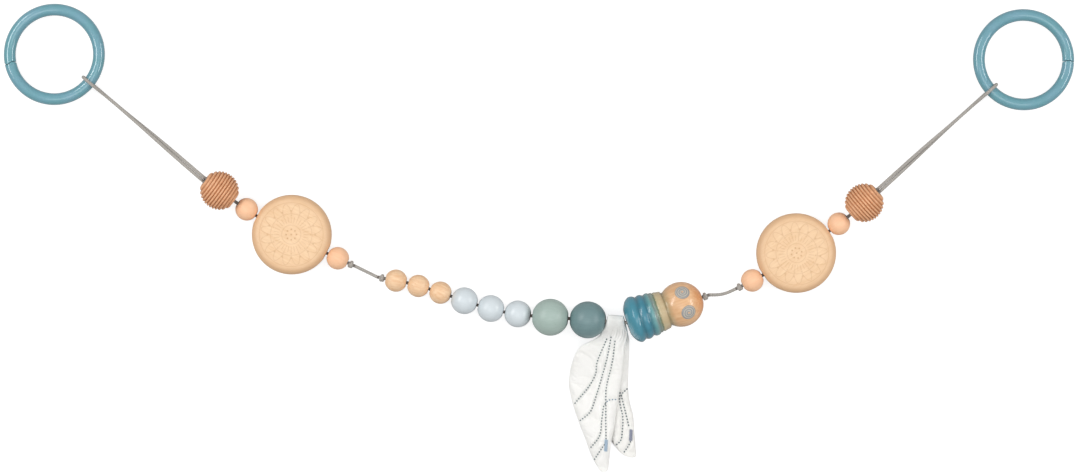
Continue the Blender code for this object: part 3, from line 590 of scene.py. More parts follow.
EYE = eye_paint()
PLASTIC = ring_plastic()
CORD = cord_fibre("cord_braid", "bbb6af", "928d87")
CLOTH = wing_cloth()
THREAD = cord_fibre("stitch_thread", "6f7d7f", "556465", 0.08)
DARK_THREAD = cord_fibre("dark_thread", "68757a", "4e5c60", 0.08)
CROSS_THREAD = cord_fibre("cross_thread", "90a5b2", "788f9e", 0.08)
BLUE_THREAD = cord_fibre("blue_thread", "b0c4d5", "96aec3", 0.08)
SLATE_THREAD = cord_fibre("slate_thread", "969bad", "7c8195", 0.08)
print("materials", len(bpy.data.materials))


# %% [markdown]
# ## Round beads
# A wooden bead is turned on a lathe and drilled along its grain, and the drill's edge is broken so
# that it doesn't cut the cord. A circle with a hole would do from afar, but the soft lip catches
# light at every gap, so the outline is three arcs and a wall, turned about the bead's own axis.
# Each bead sits where its spin joint is, which is where the CAD bead is.

# %% Round beads
CORAL_DIAMETER = 12.1 * MM
NATURAL_DIAMETER = 12.0 * MM
BLUE_DIAMETER = 14.4 * MM
LARGE_DIAMETER = 19.8 * MM
SMALL_BORE = 3.4 * MM
LARGE_BORE = 5.0 * MM
LIP = 0.45 * MM
BEAD_STEPS = 72
# Each bead is cut from its own place in the wood, in millimetres from the last one's
GRAIN_STEP = np.array([3.1, 1.7, 23.0])
GRAIN_PLACES = 17


def drilled_ball(diameter, bore):
    """Outline of a drilled ball as (radius, height) rows.

    The lip is an arc of radius e whose middle lies b + e from the axis and R - e from the ball's
    middle, so that it meets the ball of radius R and the bore of radius b without a corner.
    """
    outer, hole = diameter / 2, bore / 2
    reach = math.sqrt((outer - LIP) ** 2 - (hole + LIP) ** 2)
    slant = math.asin((hole + LIP) / (outer - LIP))
    turn = np.linspace(-math.pi / 2, slant, 7)[:-1]
    edge = np.stack([hole + LIP + LIP * np.sin(turn), reach + LIP * np.cos(turn)], axis=1)
    turn = np.linspace(slant, math.pi - slant, 41)
    ball = outer * np.stack([np.sin(turn), np.cos(turn)], axis=1)
    return np.concatenate([edge, ball, edge[::-1] * (1, -1)])


def make_bead(node, diameter, bore, material, slot):
    """A bead at its spin joint, in the grain of its own bore, with painted shade darkening its bore from the
    lip inwards.
    """
    centre, axis = pivot(node + "_spin"), turning_axis(node + "_spin")
    profile = drilled_ball(diameter, bore)
    points, local = spun(profile, BEAD_STEPS, centre, axis)
    number = len(bpy.data.meshes)
    local = local / MM + GRAIN_STEP * (number % GRAIN_PLACES)
    dark = 1 - ease((profile[:, 0] - bore / 2) / (1.4 * LIP))
    piece = new_piece(node + "_turned", points, [grid_faces(len(profile), BEAD_STEPS, rows_close=True)],
                      material, place=local, groove=np.repeat(dark, BEAD_STEPS))
    return dress(piece, node, slot, node)


# Each kind of bead: its nodes, diameter, bore, finish and material slot
BEADS = (
    (("left_outer_coral_bead", "left_inner_coral_bead", "right_inner_coral_bead", "right_outer_coral_bead"),
     CORAL_DIAMETER, SMALL_BORE, CORAL, "coral_wood"),
    (("natural_bead_1", "natural_bead_2", "natural_bead_3"), NATURAL_DIAMETER, SMALL_BORE, NATURAL,
     "natural_wood"),
    (("blue_bead_1", "blue_bead_2", "blue_bead_3"), BLUE_DIAMETER, SMALL_BORE, BLUE, "pale_blue_wood"),
    (("sage_bead",), LARGE_DIAMETER, LARGE_BORE, SAGE, "sage_wood"),
    (("teal_bead",), LARGE_DIAMETER, LARGE_BORE, TEAL, "teal_grey_wood"),
)
for nodes, *kind in BEADS:
    for node in nodes:
        make_bead(node, *kind)
print("round beads", sum(len(nodes) for nodes, *_ in BEADS))


# %% [markdown]
# ## Ribbed beads
# The ribs are cut on the lathe while the ball turns, so each one runs square to the bore. Their
# crests are round and the grooves between them are narrow, which a power of a cosine gives. The
# groove's depth also goes into an attribute, and the finish is darker where it is 1, as painted
# shade in the grooves.

# %% Ribbed beads
RIBBED_DIAMETER = 20.8 * MM
RIB_COUNT = 12
RIB_CUT = 0.8 * MM
RIB_SHARPNESS = 2.2


def ribbed_outline():
    """Rows of (radius, height) and how deep in a groove each is.

    groove = ((1 + cos(2 pi h / pitch)) / 2) ^ power, and each point of the ball is drawn in
    towards its middle by the cut times the groove.
    """
    outer, hole = RIBBED_DIAMETER / 2, LARGE_BORE / 2
    slant = math.asin(hole / (outer - RIB_CUT))
    turn = np.linspace(slant, math.pi - slant, 190)
    pitch = 2 * outer * math.cos(slant) / RIB_COUNT
    groove = ((1 + np.cos(math.tau * outer * np.cos(turn) / pitch)) / 2) ** RIB_SHARPNESS
    radius = outer - RIB_CUT * groove
    rows = np.stack([radius * np.sin(turn), radius * np.cos(turn)], axis=1)
    wall = np.array([[hole, rows[0, 1] - LIP], [hole, rows[-1, 1] + LIP]])
    rows = np.concatenate([wall[:1], rows, wall[1:]])
    return rows, np.concatenate([[1.0], groove, [1.0]])


rib_rows, rib_depth = ribbed_outline()
for side in ("left", "right"):
    node = side + "_ribbed_bead"
    points, local = spun(rib_rows, BEAD_STEPS, pivot(node + "_spin"), turning_axis(node + "_spin"))
    faces = [grid_faces(len(rib_rows), BEAD_STEPS, rows_close=True)]
    piece = new_piece(node + "_turned", points, faces, RIBBED, place=local / MM,
                      groove=np.repeat(rib_depth, BEAD_STEPS))
    dress(piece, node, "ribbed_wood", node)
print("ribs on each ribbed bead", RIB_COUNT)


# %% [markdown]
# ## Engraved discs
# The two wooden discs have soft rims, a bore from rim to rim, and fine engraved lines on both
# faces. Here the lines are a plain rosette of rings, petals, strokes and dots. Each is a distance
# to a curve in polar coordinates, and a bell curve of that distance says how deep the tool went.
# The lines are cut into the mesh and not only painted, so they hold in a close view.

# %% The rosette
DISC_DIAMETER = 42.6 * MM
DISC_THICKNESS = 12.0 * MM
DISC_EDGE = 4.5 * MM
LINE_DEPTH = 0.18 * MM
LINE_SHARE = 0.4
LINE_HALF = 0.17 * MM
RING_SHARES = (0.24, 0.52, 0.80)
PETALS = 16
PETAL_SHARES = (0.54, 0.23)
STROKES = 32
STROKE_SHARES = (0.31, 0.44)
# Each ring of dots: how many, its radius as a share of the disc's, and how deep they are
DOTS = ((1, 0.0, 1.0), (8, 0.13, 1.0), (16, 0.48, 0.5), (16, 0.60, 0.5))
DOT_SIZE = 0.38 * MM


def on_line(distance, half=LINE_HALF):
    """1 on an engraved line and 0 away from it: exp(-(d / w)^2)."""
    return np.exp(-((distance / half) ** 2))


def from_nearest(angle, count):
    """The angle from the nearest of a number of even directions."""
    step = math.tau / count
    return (angle + step / 2) % step - step / 2


def rosette(radius, angle):
    """How deep each point is in the engraving, from 0 to 1.

    The petals are r = R * (a + b * |sin(n t / 2)|), with the distance to them divided by
    sqrt(1 + (r' / r)^2). A stroke is a short radial line, and a dot is a small disc, cut deeper.
    """
    rim = DISC_DIAMETER / 2
    foot, reach = PETAL_SHARES
    half_turns = angle * PETALS / 2
    petal = rim * (foot + reach * np.abs(np.sin(half_turns)))
    slope = rim * reach * PETALS / 2 * np.cos(half_turns) / np.maximum(radius, rim * foot)
    depth = on_line((radius - petal) / np.sqrt(1 + slope**2))
    for share in RING_SHARES:
        depth = depth + on_line(radius - share * rim)
    beside = radius * np.sin(from_nearest(angle, STROKES))
    beyond = np.maximum(STROKE_SHARES[0] * rim - radius, radius - STROKE_SHARES[1] * rim)
    depth = np.minimum(depth + on_line(np.hypot(beside, np.maximum(beyond, 0))), 1) * LINE_SHARE
    for count, share, strength in DOTS:
        turn = from_nearest(angle, count)
        away = np.hypot(radius * np.cos(turn) - share * rim, radius * np.sin(turn))
        depth = depth + strength * on_line(away, DOT_SIZE)
    return np.clip(depth, 0, 1)


# %% Discs
DISC_COLUMNS = 400
DISC_HUB = 0.15 * MM
PIT_DEPTH = 3.0 * MM
# The seat round the bore's mouth is flat as far as its radius, and fades out beyond it
SEAT_DEPTH = 0.3 * MM
SEAT_RADIUS = 2.4 * MM
SEAT_FADE = 2.2 * MM
# Painted shade on the rim grows as the rim turns down, and shows on the face too, from a share of the radius
# and over another share
RIM_SPREAD = 1.4
FACE_SHADE = 0.5
FACE_SHADE_SHARES = (0.66, 0.18)


def disc_outline():
    """Rows (radius, height, tilt of the normal) over one side: flat face, quarter circle, half rim."""
    half, flat = DISC_THICKNESS / 2, DISC_DIAMETER / 2 - DISC_EDGE
    face = np.linspace(DISC_HUB, flat, 84)
    turn = np.linspace(0, math.pi / 2, 28)[1:]
    rim = np.linspace(half - DISC_EDGE, 0, 7)[1:]
    radius = np.concatenate([face, flat + DISC_EDGE * np.sin(turn), np.full(len(rim), DISC_DIAMETER / 2)])
    height = np.concatenate([np.full(len(face), half), half - DISC_EDGE + DISC_EDGE * np.cos(turn), rim])
    return radius, height, np.concatenate([np.zeros(len(face)), turn, np.full(len(rim), math.pi / 2)])


def make_disc(node, seed):
    """An engraved disc whose bore axis is its spin joint's axis.

    Near the bore's axis the rim is pushed in, which leaves the mouth of the bore with an eased edge,
    and round the mouth is a shallow seat that lets the next bead tilt.
    """
    centre, along = pivot(node + "_spin"), turning_axis(node + "_spin")
    side, top = square_to(along)
    radius, height, tilt = disc_outline()
    radius = np.concatenate([radius, radius[-2::-1]])
    height = np.concatenate([height, -height[-2::-1]])
    tilt = np.concatenate([tilt, math.pi - tilt[-2::-1]])
    angle = np.linspace(0, math.tau, DISC_COLUMNS, endpoint=False)
    cut = rosette(radius[:, None], angle[None, :] + seed)
    out = radius[:, None] - LINE_DEPTH * cut * np.sin(tilt)[:, None]
    up = height[:, None] - LINE_DEPTH * cut * np.cos(tilt)[:, None]
    forward, across = out * np.cos(angle), out * np.sin(angle)
    tone_start, tone_width = FACE_SHADE_SHARES
    on_face = FACE_SHADE * ease((radius / DISC_DIAMETER * 2 - tone_start) / tone_width)
    # Painted shade on the rim, darker as it turns down, and on the face near it
    rim = np.maximum(ease(np.sin(tilt) * RIM_SPREAD), on_face)
    off_bore, at_end = np.hypot(across, up), np.abs(forward) > DISC_DIAMETER / 4
    seat = SEAT_DEPTH * (1 - ease((off_bore - SEAT_RADIUS) / SEAT_FADE))
    forward = forward - np.sign(forward) * at_end * seat
    inside = ease((SMALL_BORE / 2 + LIP / 2 - off_bore) / LIP) * at_end
    forward = forward + inside * (np.sign(forward) * (DISC_DIAMETER / 2 - PIT_DEPTH) - forward)
    points = centre + forward[..., None] * along + across[..., None] * side + up[..., None] * top
    local = np.stack([across, up, forward], axis=-1) / MM + 40 * seed
    # The groove attribute gives the burnt colour of the engraved lines, and painted shade in the bore's pits
    piece = new_piece(node + "_engraved", points, tube_faces(len(radius), DISC_COLUMNS), DISC, place=local,
                      sharp=50, groove=np.maximum(cut, inside), rim=np.repeat(rim, DISC_COLUMNS))
    return dress(piece, node, "disc_wood", node)


make_disc("left_disc", 0.3)
make_disc("right_disc", 1.1)
print("discs cut with", PETALS, "petals")


# %% [markdown]
# ## The dragonfly's body
# The body is one turned piece with four ribs at the tail, a band, a neck and a round head. It was
# shaped by hand after turning, so its grooves lean and waver a little. The outline is a smooth
# curve through a few chosen points. Each groove is a bell curve of the distance along the body
# to a place that shifts with the angle round it, which a plain turned profile could not do.

# %% Smooth curve through points
def smooth_path(points, count):
    """Catmull-Rom curve through points, read at even steps of its own length.

    Between two points it is the cubic whose slopes are half the step between their neighbours.
    """
    points = np.asarray(points, float)
    ends = np.concatenate([2 * points[:1] - points[1:2], points, 2 * points[-1:] - points[-2:-1]])
    share = np.linspace(0, len(points) - 1, 40 * len(points))
    part = np.minimum(share.astype(int), len(points) - 2)
    t = (share - part)[:, None]
    a, b, c, d = (ends[part + i] for i in range(4))
    square, cube = 2 * a - 5 * b + 4 * c - d, 3 * b - a - 3 * c + d
    curve = 0.5 * (2 * b + (c - a) * t + square * t**2 + cube * t**3)
    return read_evenly(curve, count)


# %% Dragonfly body
BODY_LENGTH = 42.4 * MM
WIDEST = 12.7 * MM
HEAD = 12.0 * MM
BODY_BORE = 4.4 * MM
BODY_COLUMNS = 128
# Place along the body as a share of its length, and radius as a share of the widest
BODY_SHARES = (
    (0.001, 0.22), (0.004, 0.50), (0.022, 0.68), (0.055, 0.86), (0.095, 0.97), (0.125, 1.0), (0.18, 0.995),
    (0.245, 0.962), (0.343, 0.93), (0.42, 0.87), (0.455, 0.83), (0.485, 0.815), (0.51, 0.80), (0.53, 0.735),
)
BODY_ROWS = 170
HEAD_ROWS = 60
WALL_ROWS = 8
# Each groove: its place as a share of the length, its depth and half-width, how far it leans, and
# the angle round the body that it leans towards
GROOVES = (
    (0.183, 1.15, 1.25, 1.1, 0.4), (0.285, 1.0, 1.15, 0.9, 0.9), (0.375, 0.6, 0.8, 0.7, 2.2),
    (0.412, 0.65, 0.5, 0.5, 1.6), (0.523, 0.4, 0.6, 0.2, 3.0),
)
GROOVE_LEAN = 0.5
GROOVE_WAVER = 0.16
GROOVE_POWER = 1.4
# The glaze's edge leans towards an angle, and wavers by a share of the body's length
GLAZE_LEAN = 0.25 * MM
GLAZE_TOWARDS = 1.6
GLAZE_WAVER_SHARE = 0.002


def body_outline():
    """Rows (radius, height): tail, ribs and neck as a smooth curve, and the head as an arc."""
    shares = np.array(BODY_SHARES)
    torso = smooth_path(np.stack([shares[:, 1] * WIDEST, shares[:, 0] * BODY_LENGTH], axis=1), BODY_ROWS)
    bore = BODY_BORE / 2
    middle = BODY_LENGTH - math.sqrt(HEAD**2 - bore**2)
    neck, mouth = math.pi - math.asin(torso[-1, 0] / HEAD), math.asin((bore + LIP) / HEAD)
    turn = np.linspace(neck, mouth, HEAD_ROWS)[1:]
    head = np.stack([HEAD * np.sin(turn), middle + HEAD * np.cos(turn)], axis=1)
    lip = np.array([[bore + LIP * 0.3, BODY_LENGTH - LIP * 0.3], [bore, BODY_LENGTH - LIP]])
    wall = np.stack([np.full(WALL_ROWS, bore), np.linspace(BODY_LENGTH - 2 * LIP, LIP, WALL_ROWS)], axis=1)
    return np.concatenate([torso, head, lip, wall])


def make_body():
    """The glazed body, from its tail face to its head."""
    centre, along = pivot("dragonfly_body_spin"), turning_axis("dragonfly_body_spin")
    rows = body_outline()
    angle = np.linspace(0, math.tau, BODY_COLUMNS, endpoint=False)
    side, top = square_to(along)
    groove = np.zeros((len(rows), BODY_COLUMNS))
    radius = np.repeat(rows[:, :1], BODY_COLUMNS, axis=1)
    outer = rows[:, :1] > BODY_BORE / 2 * 1.02
    for share, depth, half, lean, towards in GROOVES:
        wander = GROOVE_LEAN * np.cos(angle - towards) + GROOVE_WAVER * np.sin(3 * angle + towards)
        place = share * BODY_LENGTH + MM * lean * wander
        line = np.exp(-(np.abs(rows[:, 1:] - place) / (half * MM)) ** GROOVE_POWER) * outer
        radius = radius - depth * MM * line
        groove = np.maximum(groove, line)
    ring = np.cos(angle)[:, None] * side + np.sin(angle)[:, None] * top
    height = rows[:, 1:] - BODY_LENGTH / 2
    points = centre + height[..., None] * along + radius[..., None] * ring
    local = np.stack(np.broadcast_arrays(radius * np.cos(angle), radius * np.sin(angle), height), axis=-1)
    lean = GLAZE_LEAN / BODY_LENGTH * np.cos(angle - GLAZE_TOWARDS)
    along_share = rows[:, 1:] / BODY_LENGTH - (lean - GLAZE_WAVER_SHARE * np.sin(4 * angle))
    bore = np.repeat((rows[:, 0] < BODY_BORE / 2 + 0.4 * LIP).astype(float), BODY_COLUMNS)
    faces = [grid_faces(len(rows), BODY_COLUMNS, rows_close=True)]
    piece = new_piece("dragonfly_turned", points, faces, DRAGONFLY, place=local / MM, groove=groove,
                      bore=bore, along=along_share)
    return dress(piece, "dragonfly_body", "dragonfly_wood", "dragonfly_body")


make_body()
print("grooves on the body", len(GROOVES))


# %% Eyes
EYE_ANGLE = 18.7
EYE_HEIGHT = 0.12 * MM
EYE_PITCH = 1.15 * MM
EYE_RELIEF = 0.07 * MM
EYE_COLUMNS = 72
# The bare middle's radius and how wide its edge is
EYE_MIDDLE = 0.35 * MM
EYE_MIDDLE_FADE = 0.3 * MM
# Degrees from the eye's middle: its first row, and where the spiral ends inside its edge
EYE_START = 0.3
EYE_BORDER = 1.0
# The rows past the edge go down into the head: the angle, and the height in heights of the eye
EYE_SKIRT = ((EYE_ANGLE + 0.6, 0.0), (EYE_ANGLE + 0.2, -3.0), (6.0, -3.0))
EYE_DIRECTIONS = ((0.027, 0.562, 0.827), (0.323, -0.354, 0.878))


def make_eye(number, direction):
    """A thin painted cap on the head, with a raised spiral.

    A point at angle q from the eye's middle and t round it is R * (cos q * out + sin q * (cos t *
    side + sin t * top)), and the spiral is cos(2 pi (R q / pitch) - t).
    """
    along = turning_axis("dragonfly_body_spin")
    from_middle = BODY_LENGTH / 2 - math.sqrt(HEAD**2 - (BODY_BORE / 2) ** 2)
    centre = pivot("dragonfly_body_spin") + along * from_middle
    out = unit(np.array(direction))
    side, top = square_to(out)
    skirt, sunk = np.array(EYE_SKIRT).T
    slant = np.radians(np.concatenate([np.linspace(EYE_START, EYE_ANGLE, 44), skirt]))[:, None]
    turn = np.linspace(0, math.tau, EYE_COLUMNS, endpoint=False)[None, :]
    ridge = (0.5 + 0.5 * np.cos(math.tau * HEAD * slant / EYE_PITCH - turn)) ** 2
    ridge = ridge * (slant < math.radians(EYE_ANGLE - EYE_BORDER))
    middle = 1 - ease((HEAD * slant - EYE_MIDDLE) / EYE_MIDDLE_FADE) + 0 * turn
    lift = np.full(slant.shape, EYE_HEIGHT)
    lift[-len(sunk):, 0] = sunk * EYE_HEIGHT
    size = HEAD + lift + EYE_RELIEF * ridge
    level = np.cos(turn)[..., None] * side + np.sin(turn)[..., None] * top
    points = centre + (size * np.cos(slant))[..., None] * out + (size * np.sin(slant))[..., None] * level
    piece = new_piece(f"dragonfly_eye_{number}", points, tube_faces(len(slant), EYE_COLUMNS), EYE, sharp=60,
                      ridge=ridge, middle=middle)
    return dress(piece, "dragonfly_body", "dragonfly_wood")


for number, direction in enumerate(EYE_DIRECTIONS, 1):
    make_eye(number, direction)
print("eyes", len(EYE_DIRECTIONS))


# %% [markdown]
# ## Snap rings
# A ring is one moulding that springs open at a slanting seam, so it bends opposite the seam and
# is rigid elsewhere. That calls for three stretches of one ring: the half that holds the cord, the
# half that springs, and a short stretch between them. The two end faces
# at the seam follow the same curve, so the gap between them stays thin and even.

# %% Rings
RING_TUBE = 6.3 * MM
RING_CENTRE = 24.0 * MM
RING_SIDES = 48
FLEX_HALF_ANGLE = 8.0
RING_STEP = 1.2
RING_LEAST_ROWS = 6
RING_SHARP = 35
SEAM_GAP = 0.3 * MM
SEAM_FADE = 14.0
# The eased edge at the seam: how many degrees it takes, the rows it adds, and how deep it is
SEAM_EASE = 0.6
SEAM_ROWS = SEAM_EASE * np.array([0.15, 0.5, 1.0])
SEAM_ROUNDING = 0.2 * MM
# Each ring's heading and seam, in degrees in plan, and how far the seam's curve bows, in millimetres
RINGS = {"left": (141.6, 191.3, 0.55), "right": (42.15, -3.1, -0.7)}
# Each half's body, the name of its piece and the node that it stands for
RING_HALVES = (("_ring", "_ring_half", "_ring"), ("_clip", "_ring_sprung_half", "_ring_clip"))


def ring_frame(side):
    """Where the ring crosses its cord, and the ring's own X, Y and Z there."""
    y = -turning_axis(side + "_ring_tilt")
    z = turning_axis(side + "_ring_flex")
    z = z * np.sign(z[2])
    return pivot(side + "_ring_tilt"), np.cross(y, z), y, z


def ring_stretch(side, start, end):
    """A stretch of the ring between two angles, in degrees in plan.

    point = middle + (c + a cos b) * (cos t * x + sin t * y) + a sin b * z, where b goes round the
    tube. Near the seam, t shifts with b along a curve, fading with the distance from the seam, and
    the last edge is eased.
    """
    crossing, x, y, z = ring_frame(side)
    heading, seam, curve = RINGS[side]
    rows = max(RING_LEAST_ROWS, int(abs(end - start) / RING_STEP))
    more = np.concatenate([seam + SEAM_ROWS, seam + 360 - SEAM_ROWS])
    turn = np.concatenate([np.linspace(start, end, rows + 1), more[(more > start) & (more < end)]])
    gap = math.degrees(SEAM_GAP / 2 / RING_CENTRE)
    turn = np.clip(np.sort(turn), seam + gap, seam + 360 - gap)
    around = np.linspace(0, math.tau, RING_SIDES, endpoint=False)
    bow = np.sin(math.pi * np.cos(around)) if curve > 0 else np.sin(around) ** 2
    to_seam = np.minimum(np.minimum(turn - seam, seam + 360 - turn), SEAM_FADE)
    fade = 1 - ease(to_seam / SEAM_FADE)
    shift = np.degrees(abs(curve) * MM / RING_CENTRE) * bow
    angle = np.radians(turn[:, None] + fade[:, None] * shift - heading)
    eased = np.clip((to_seam - gap) / SEAM_EASE, 0, 1)
    tube = RING_TUBE / 2 - SEAM_ROUNDING * (1 - np.sqrt(1 - (1 - eased) ** 2))[:, None]
    out = (RING_CENTRE + tube * np.cos(around))[..., None]
    outwards = np.cos(angle)[..., None] * x + np.sin(angle)[..., None] * y
    points = crossing + RING_CENTRE * x + out * outwards + (tube * np.sin(around))[..., None] * z
    return points, tube_faces(len(turn), RING_SIDES)


def make_ring(side):
    """The held half, the sprung half and the stretch between them."""
    heading, seam, _ = RINGS[side]
    held_after = (heading + 180 - seam) % 360 < 180
    halves = RING_HALVES if held_after else RING_HALVES[::-1]
    bend = seam + 180 - FLEX_HALF_ANGLE, seam + 180 + FLEX_HALF_ANGLE
    for (body, name, node), (start, end) in zip(halves, ((seam, bend[0]), (bend[1], seam + 360))):
        piece = new_piece(side + name, *ring_stretch(side, start, end), PLASTIC, sharp=RING_SHARP)
        dress(piece, side + body, "ring_plastic", side + node)
    points, faces = ring_stretch(side, *bend)
    piece = new_piece(side + "_ring_flex", points, faces, PLASTIC, sharp=RING_SHARP)
    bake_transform(piece)


for side in RINGS:
    make_ring(side)
print("rings", len(RINGS), "of", round(2 * (RING_CENTRE + RING_TUBE / 2) / MM, 1), "mm")


# %% [markdown]
# ## Cord
# The toy is strung on a thin braided cord. A smooth tube would look like wire, so the tube's radius
# rises and falls with two sets of strands that wind opposite ways. A link of the chain has its
# own straight stretch from joint to joint with round ends, and neighbours turn inside each other
# there without a visible break.

# %% Braided tube
CORD_DIAMETER = 1.8 * MM
CORD_SIDES = 32
CORD_STEP = 0.2 * MM
BRAID_STRANDS = 4
BRAID_PITCH = 2.6 * MM
BRAID_RELIEF = 0.13
# Painted shade on the cord where it runs into a bead: how dark, how far it stays full, and how far it fades
GAP_SHADE = 0.75
GAP_SHADE_REACH = 0.9 * MM
GAP_SHADE_FADE = 1.0 * MM


def braid(run):
    """Ridge height of a braid, from 0 to 1, at each distance along and angle round a cord.

    |sin| of the strand count plus the turns along the cord gives one set of strands, and minus
    them gives the other.
    """
    around = np.linspace(0, BRAID_STRANDS, CORD_SIDES, endpoint=False)[None, :]
    turns = run[:, None] / BRAID_PITCH * 2
    one, other = (np.abs(np.sin(math.pi * (around + way * turns))) for way in (1, -1))
    return np.sqrt(one * other)


def cord_tube(path, reference=UP):
    """A braided tube along a path, with round ends: points, faces, place and hollow."""
    ridge = braid(run_along(path))
    radius = CORD_DIAMETER / 2 * (1 - BRAID_RELIEF * (1 - ridge))
    points, local = carried(path, radius, reference)
    faces, hollow = tube_faces(len(points), CORD_SIDES), 1 - with_ends(ridge)
    return points.reshape(-1, 3), faces, local.reshape(-1, 3) / MM, hollow.ravel()


def joined(parts):
    """Several shells as one set of points, faces, place and hollow."""
    points, groups, place, hollow = zip(*parts)
    offsets = np.cumsum([0] + [len(shell) for shell in points[:-1]])
    faces = [group + offset for shell, offset in zip(groups, offsets) for group in shell]
    return np.concatenate(points), faces, np.concatenate(place), np.concatenate(hollow)


def line_between(first, last):
    """Points from one place to another, a cord step apart."""
    count = max(2, int(np.linalg.norm(last - first) / CORD_STEP))
    return first + np.linspace(0, 1, count)[:, None] * (last - first)


def cord_piece(name, parts, body, *nodes, shaded_spots=()):
    """A piece of cord from one or more tubes, with painted shade close to some places."""
    points, faces, place, hollow = joined(parts)
    grime = np.zeros(len(points))
    for spot in shaded_spots:
        away = np.linalg.norm(points - spot, axis=1)
        grime = np.maximum(grime, GAP_SHADE * (1 - ease((away - GAP_SHADE_REACH) / GAP_SHADE_FADE)))
    piece = new_piece(name, points, faces, CORD, place=place, hollow=hollow, grime=grime)
    return dress(piece, body, "cord_grey", *nodes)


# %% The cord of each link
# The joints along the chain, and the links of cord between each one and the next
BOUNDS = (
    "left_loop_swing", "left_ribbed_bend", "left_outer_coral_bend", "left_disc_bend",
    "left_inner_coral_swing", "left_bare_lift", "natural_1_bend", "natural_2_bend", "natural_3_bend",
    "blue_1_bend", "blue_2_bend", "blue_3_bend", "sage_bend", "teal_bend", "right_bare_lift",
    "right_inner_coral_swing", "right_disc_bend", "right_outer_coral_bend", "right_ribbed_bend",
    "right_loop_swing",
)
LINKS = (
    "left_ribbed", "left_outer_coral", "left_disc", "left_inner_coral", "left_bare", "natural_1",
    "natural_2", "natural_3", "blue_1", "blue_2", "blue_3", "sage", "teal", "dragonfly", "right_bare",
    "right_inner_coral", "right_disc", "right_outer_coral", "right_ribbed",
)
ends = {name: (pivot(BOUNDS[i]), pivot(BOUNDS[i + 1])) for i, name in enumerate(LINKS)}
DOUBLED_APART = 0.9 * MM
BARE_BOW = -1.1 * MM
# The cord gets no painted shade where it comes out of the wings' tab
unshaded_mouth = pivot("teal_bend")


def doubled(mouth, inner):
    """The last bead's cord: one strand to its middle, and two side by side from there to its mouth."""
    along = unit(inner - mouth)
    side = unit(np.cross(UP, along))
    middle = (mouth + inner) / 2
    asides = [side * hand * DOUBLED_APART for hand in (1, -1)]
    pair = [cord_tube(line_between(mouth + aside, middle + aside)) for aside in asides]
    return [*pair, cord_tube(line_between(middle + along * 2 * CORD_DIAMETER, inner))]


for name, (first, last) in ends.items():
    if name == "left_ribbed":
        parts = doubled(first, last)
    elif name == "right_ribbed":
        parts = doubled(last, first)
    else:
        route = line_between(first, last)
        if name == "right_bare":
            bow = BARE_BOW * np.sin(np.linspace(0, math.pi, len(route)))[:, None]
            route = route + bow * unit(np.cross(UP, last - first))
        parts = [cord_tube(route)]
    # Painted shade at both ends of a link, where the cord runs into a bead
    mouths = [] if "bare" in name else [first, last]
    shaded_spots = [spot for spot in mouths if not np.array_equal(spot, unshaded_mouth)]
    cord_piece(name + "_string", parts, name + "_link", name + "_cord", shaded_spots=shaded_spots)
print("links of cord", len(ends))


# %% [markdown]
# ## Knots
# The beads are kept in place by tight overhand knots. A knot that is pulled home shows as one
# strand wound about one and a half times round the other, so that is what each knot is: a helix
# whose ends dive into the cord.

# %% Knots
KNOT_TURNS = 1.6
KNOT_RADIUS = 1.25 * MM
KNOT_HALF = 0.75 * MM
KNOT_REACH = 2.5 * MM
KNOT_START = 0.6
# The strand's ends dive to a share of the knot's radius, over a share of its length
KNOT_DIVE_SHARES = (0.35, 0.16)
# Each knot: its node, its link, at which of the link's ends it is and which way it lies from there
KNOTS = (
    ("left_outer_knot", "left_inner_coral", 1, -1), ("left_inner_knot", "natural_1", 0, 1),
    ("dragonfly_knot", "dragonfly", 1, -1), ("right_inner_knot", "right_inner_coral", 0, 1),
)


def make_knot(node, link, end, way):
    """A knot just inside one end of its link.

    point = middle + h (2 s - 1) * along + r(s) * (cos(n s) * side + sin(n s) * top), and r(s)
    falls away at both ends.
    """
    first, last = ends[link]
    along = unit(last - first)
    side, top = square_to(along)
    middle = ends[link][end] + way * KNOT_REACH * along
    share = np.linspace(0, 1, 110)
    turn = math.tau * KNOT_TURNS * share + KNOT_START
    least, dive = KNOT_DIVE_SHARES
    radius = KNOT_RADIUS * (least + (1 - least) * ease(np.minimum(share, 1 - share) / dive))
    path = (middle + ((2 * share - 1) * KNOT_HALF)[:, None] * along
            + (radius * np.cos(turn))[:, None] * side + (radius * np.sin(turn))[:, None] * top)
    return cord_piece(node + "_turns", [cord_tube(path, reference=along)], link + "_link", node)


for knot in KNOTS:
    make_knot(*knot)
print("knots", len(KNOTS))


# %% [markdown]
# ## The doubled cord at each end
# A single length of cord leaves the last bead, goes round the ring's tube and comes back beside
# itself. Its route is the one that the CAD solid follows: the two strands lie side by side at the
# bead and one over the other at the ring, so each turns a quarter of the way round the other.

# %% Hanging loops
LOOP_SPREAD = 1.8 * MM
LOOP_OPENING = 14.0 * MM
LOOP_RISE = 45.0 * MM
LOOP_START = 0.4 * MM
LOOP_TWIST_SHARE = 0.8
LOOP_GAP = 0.15 * MM


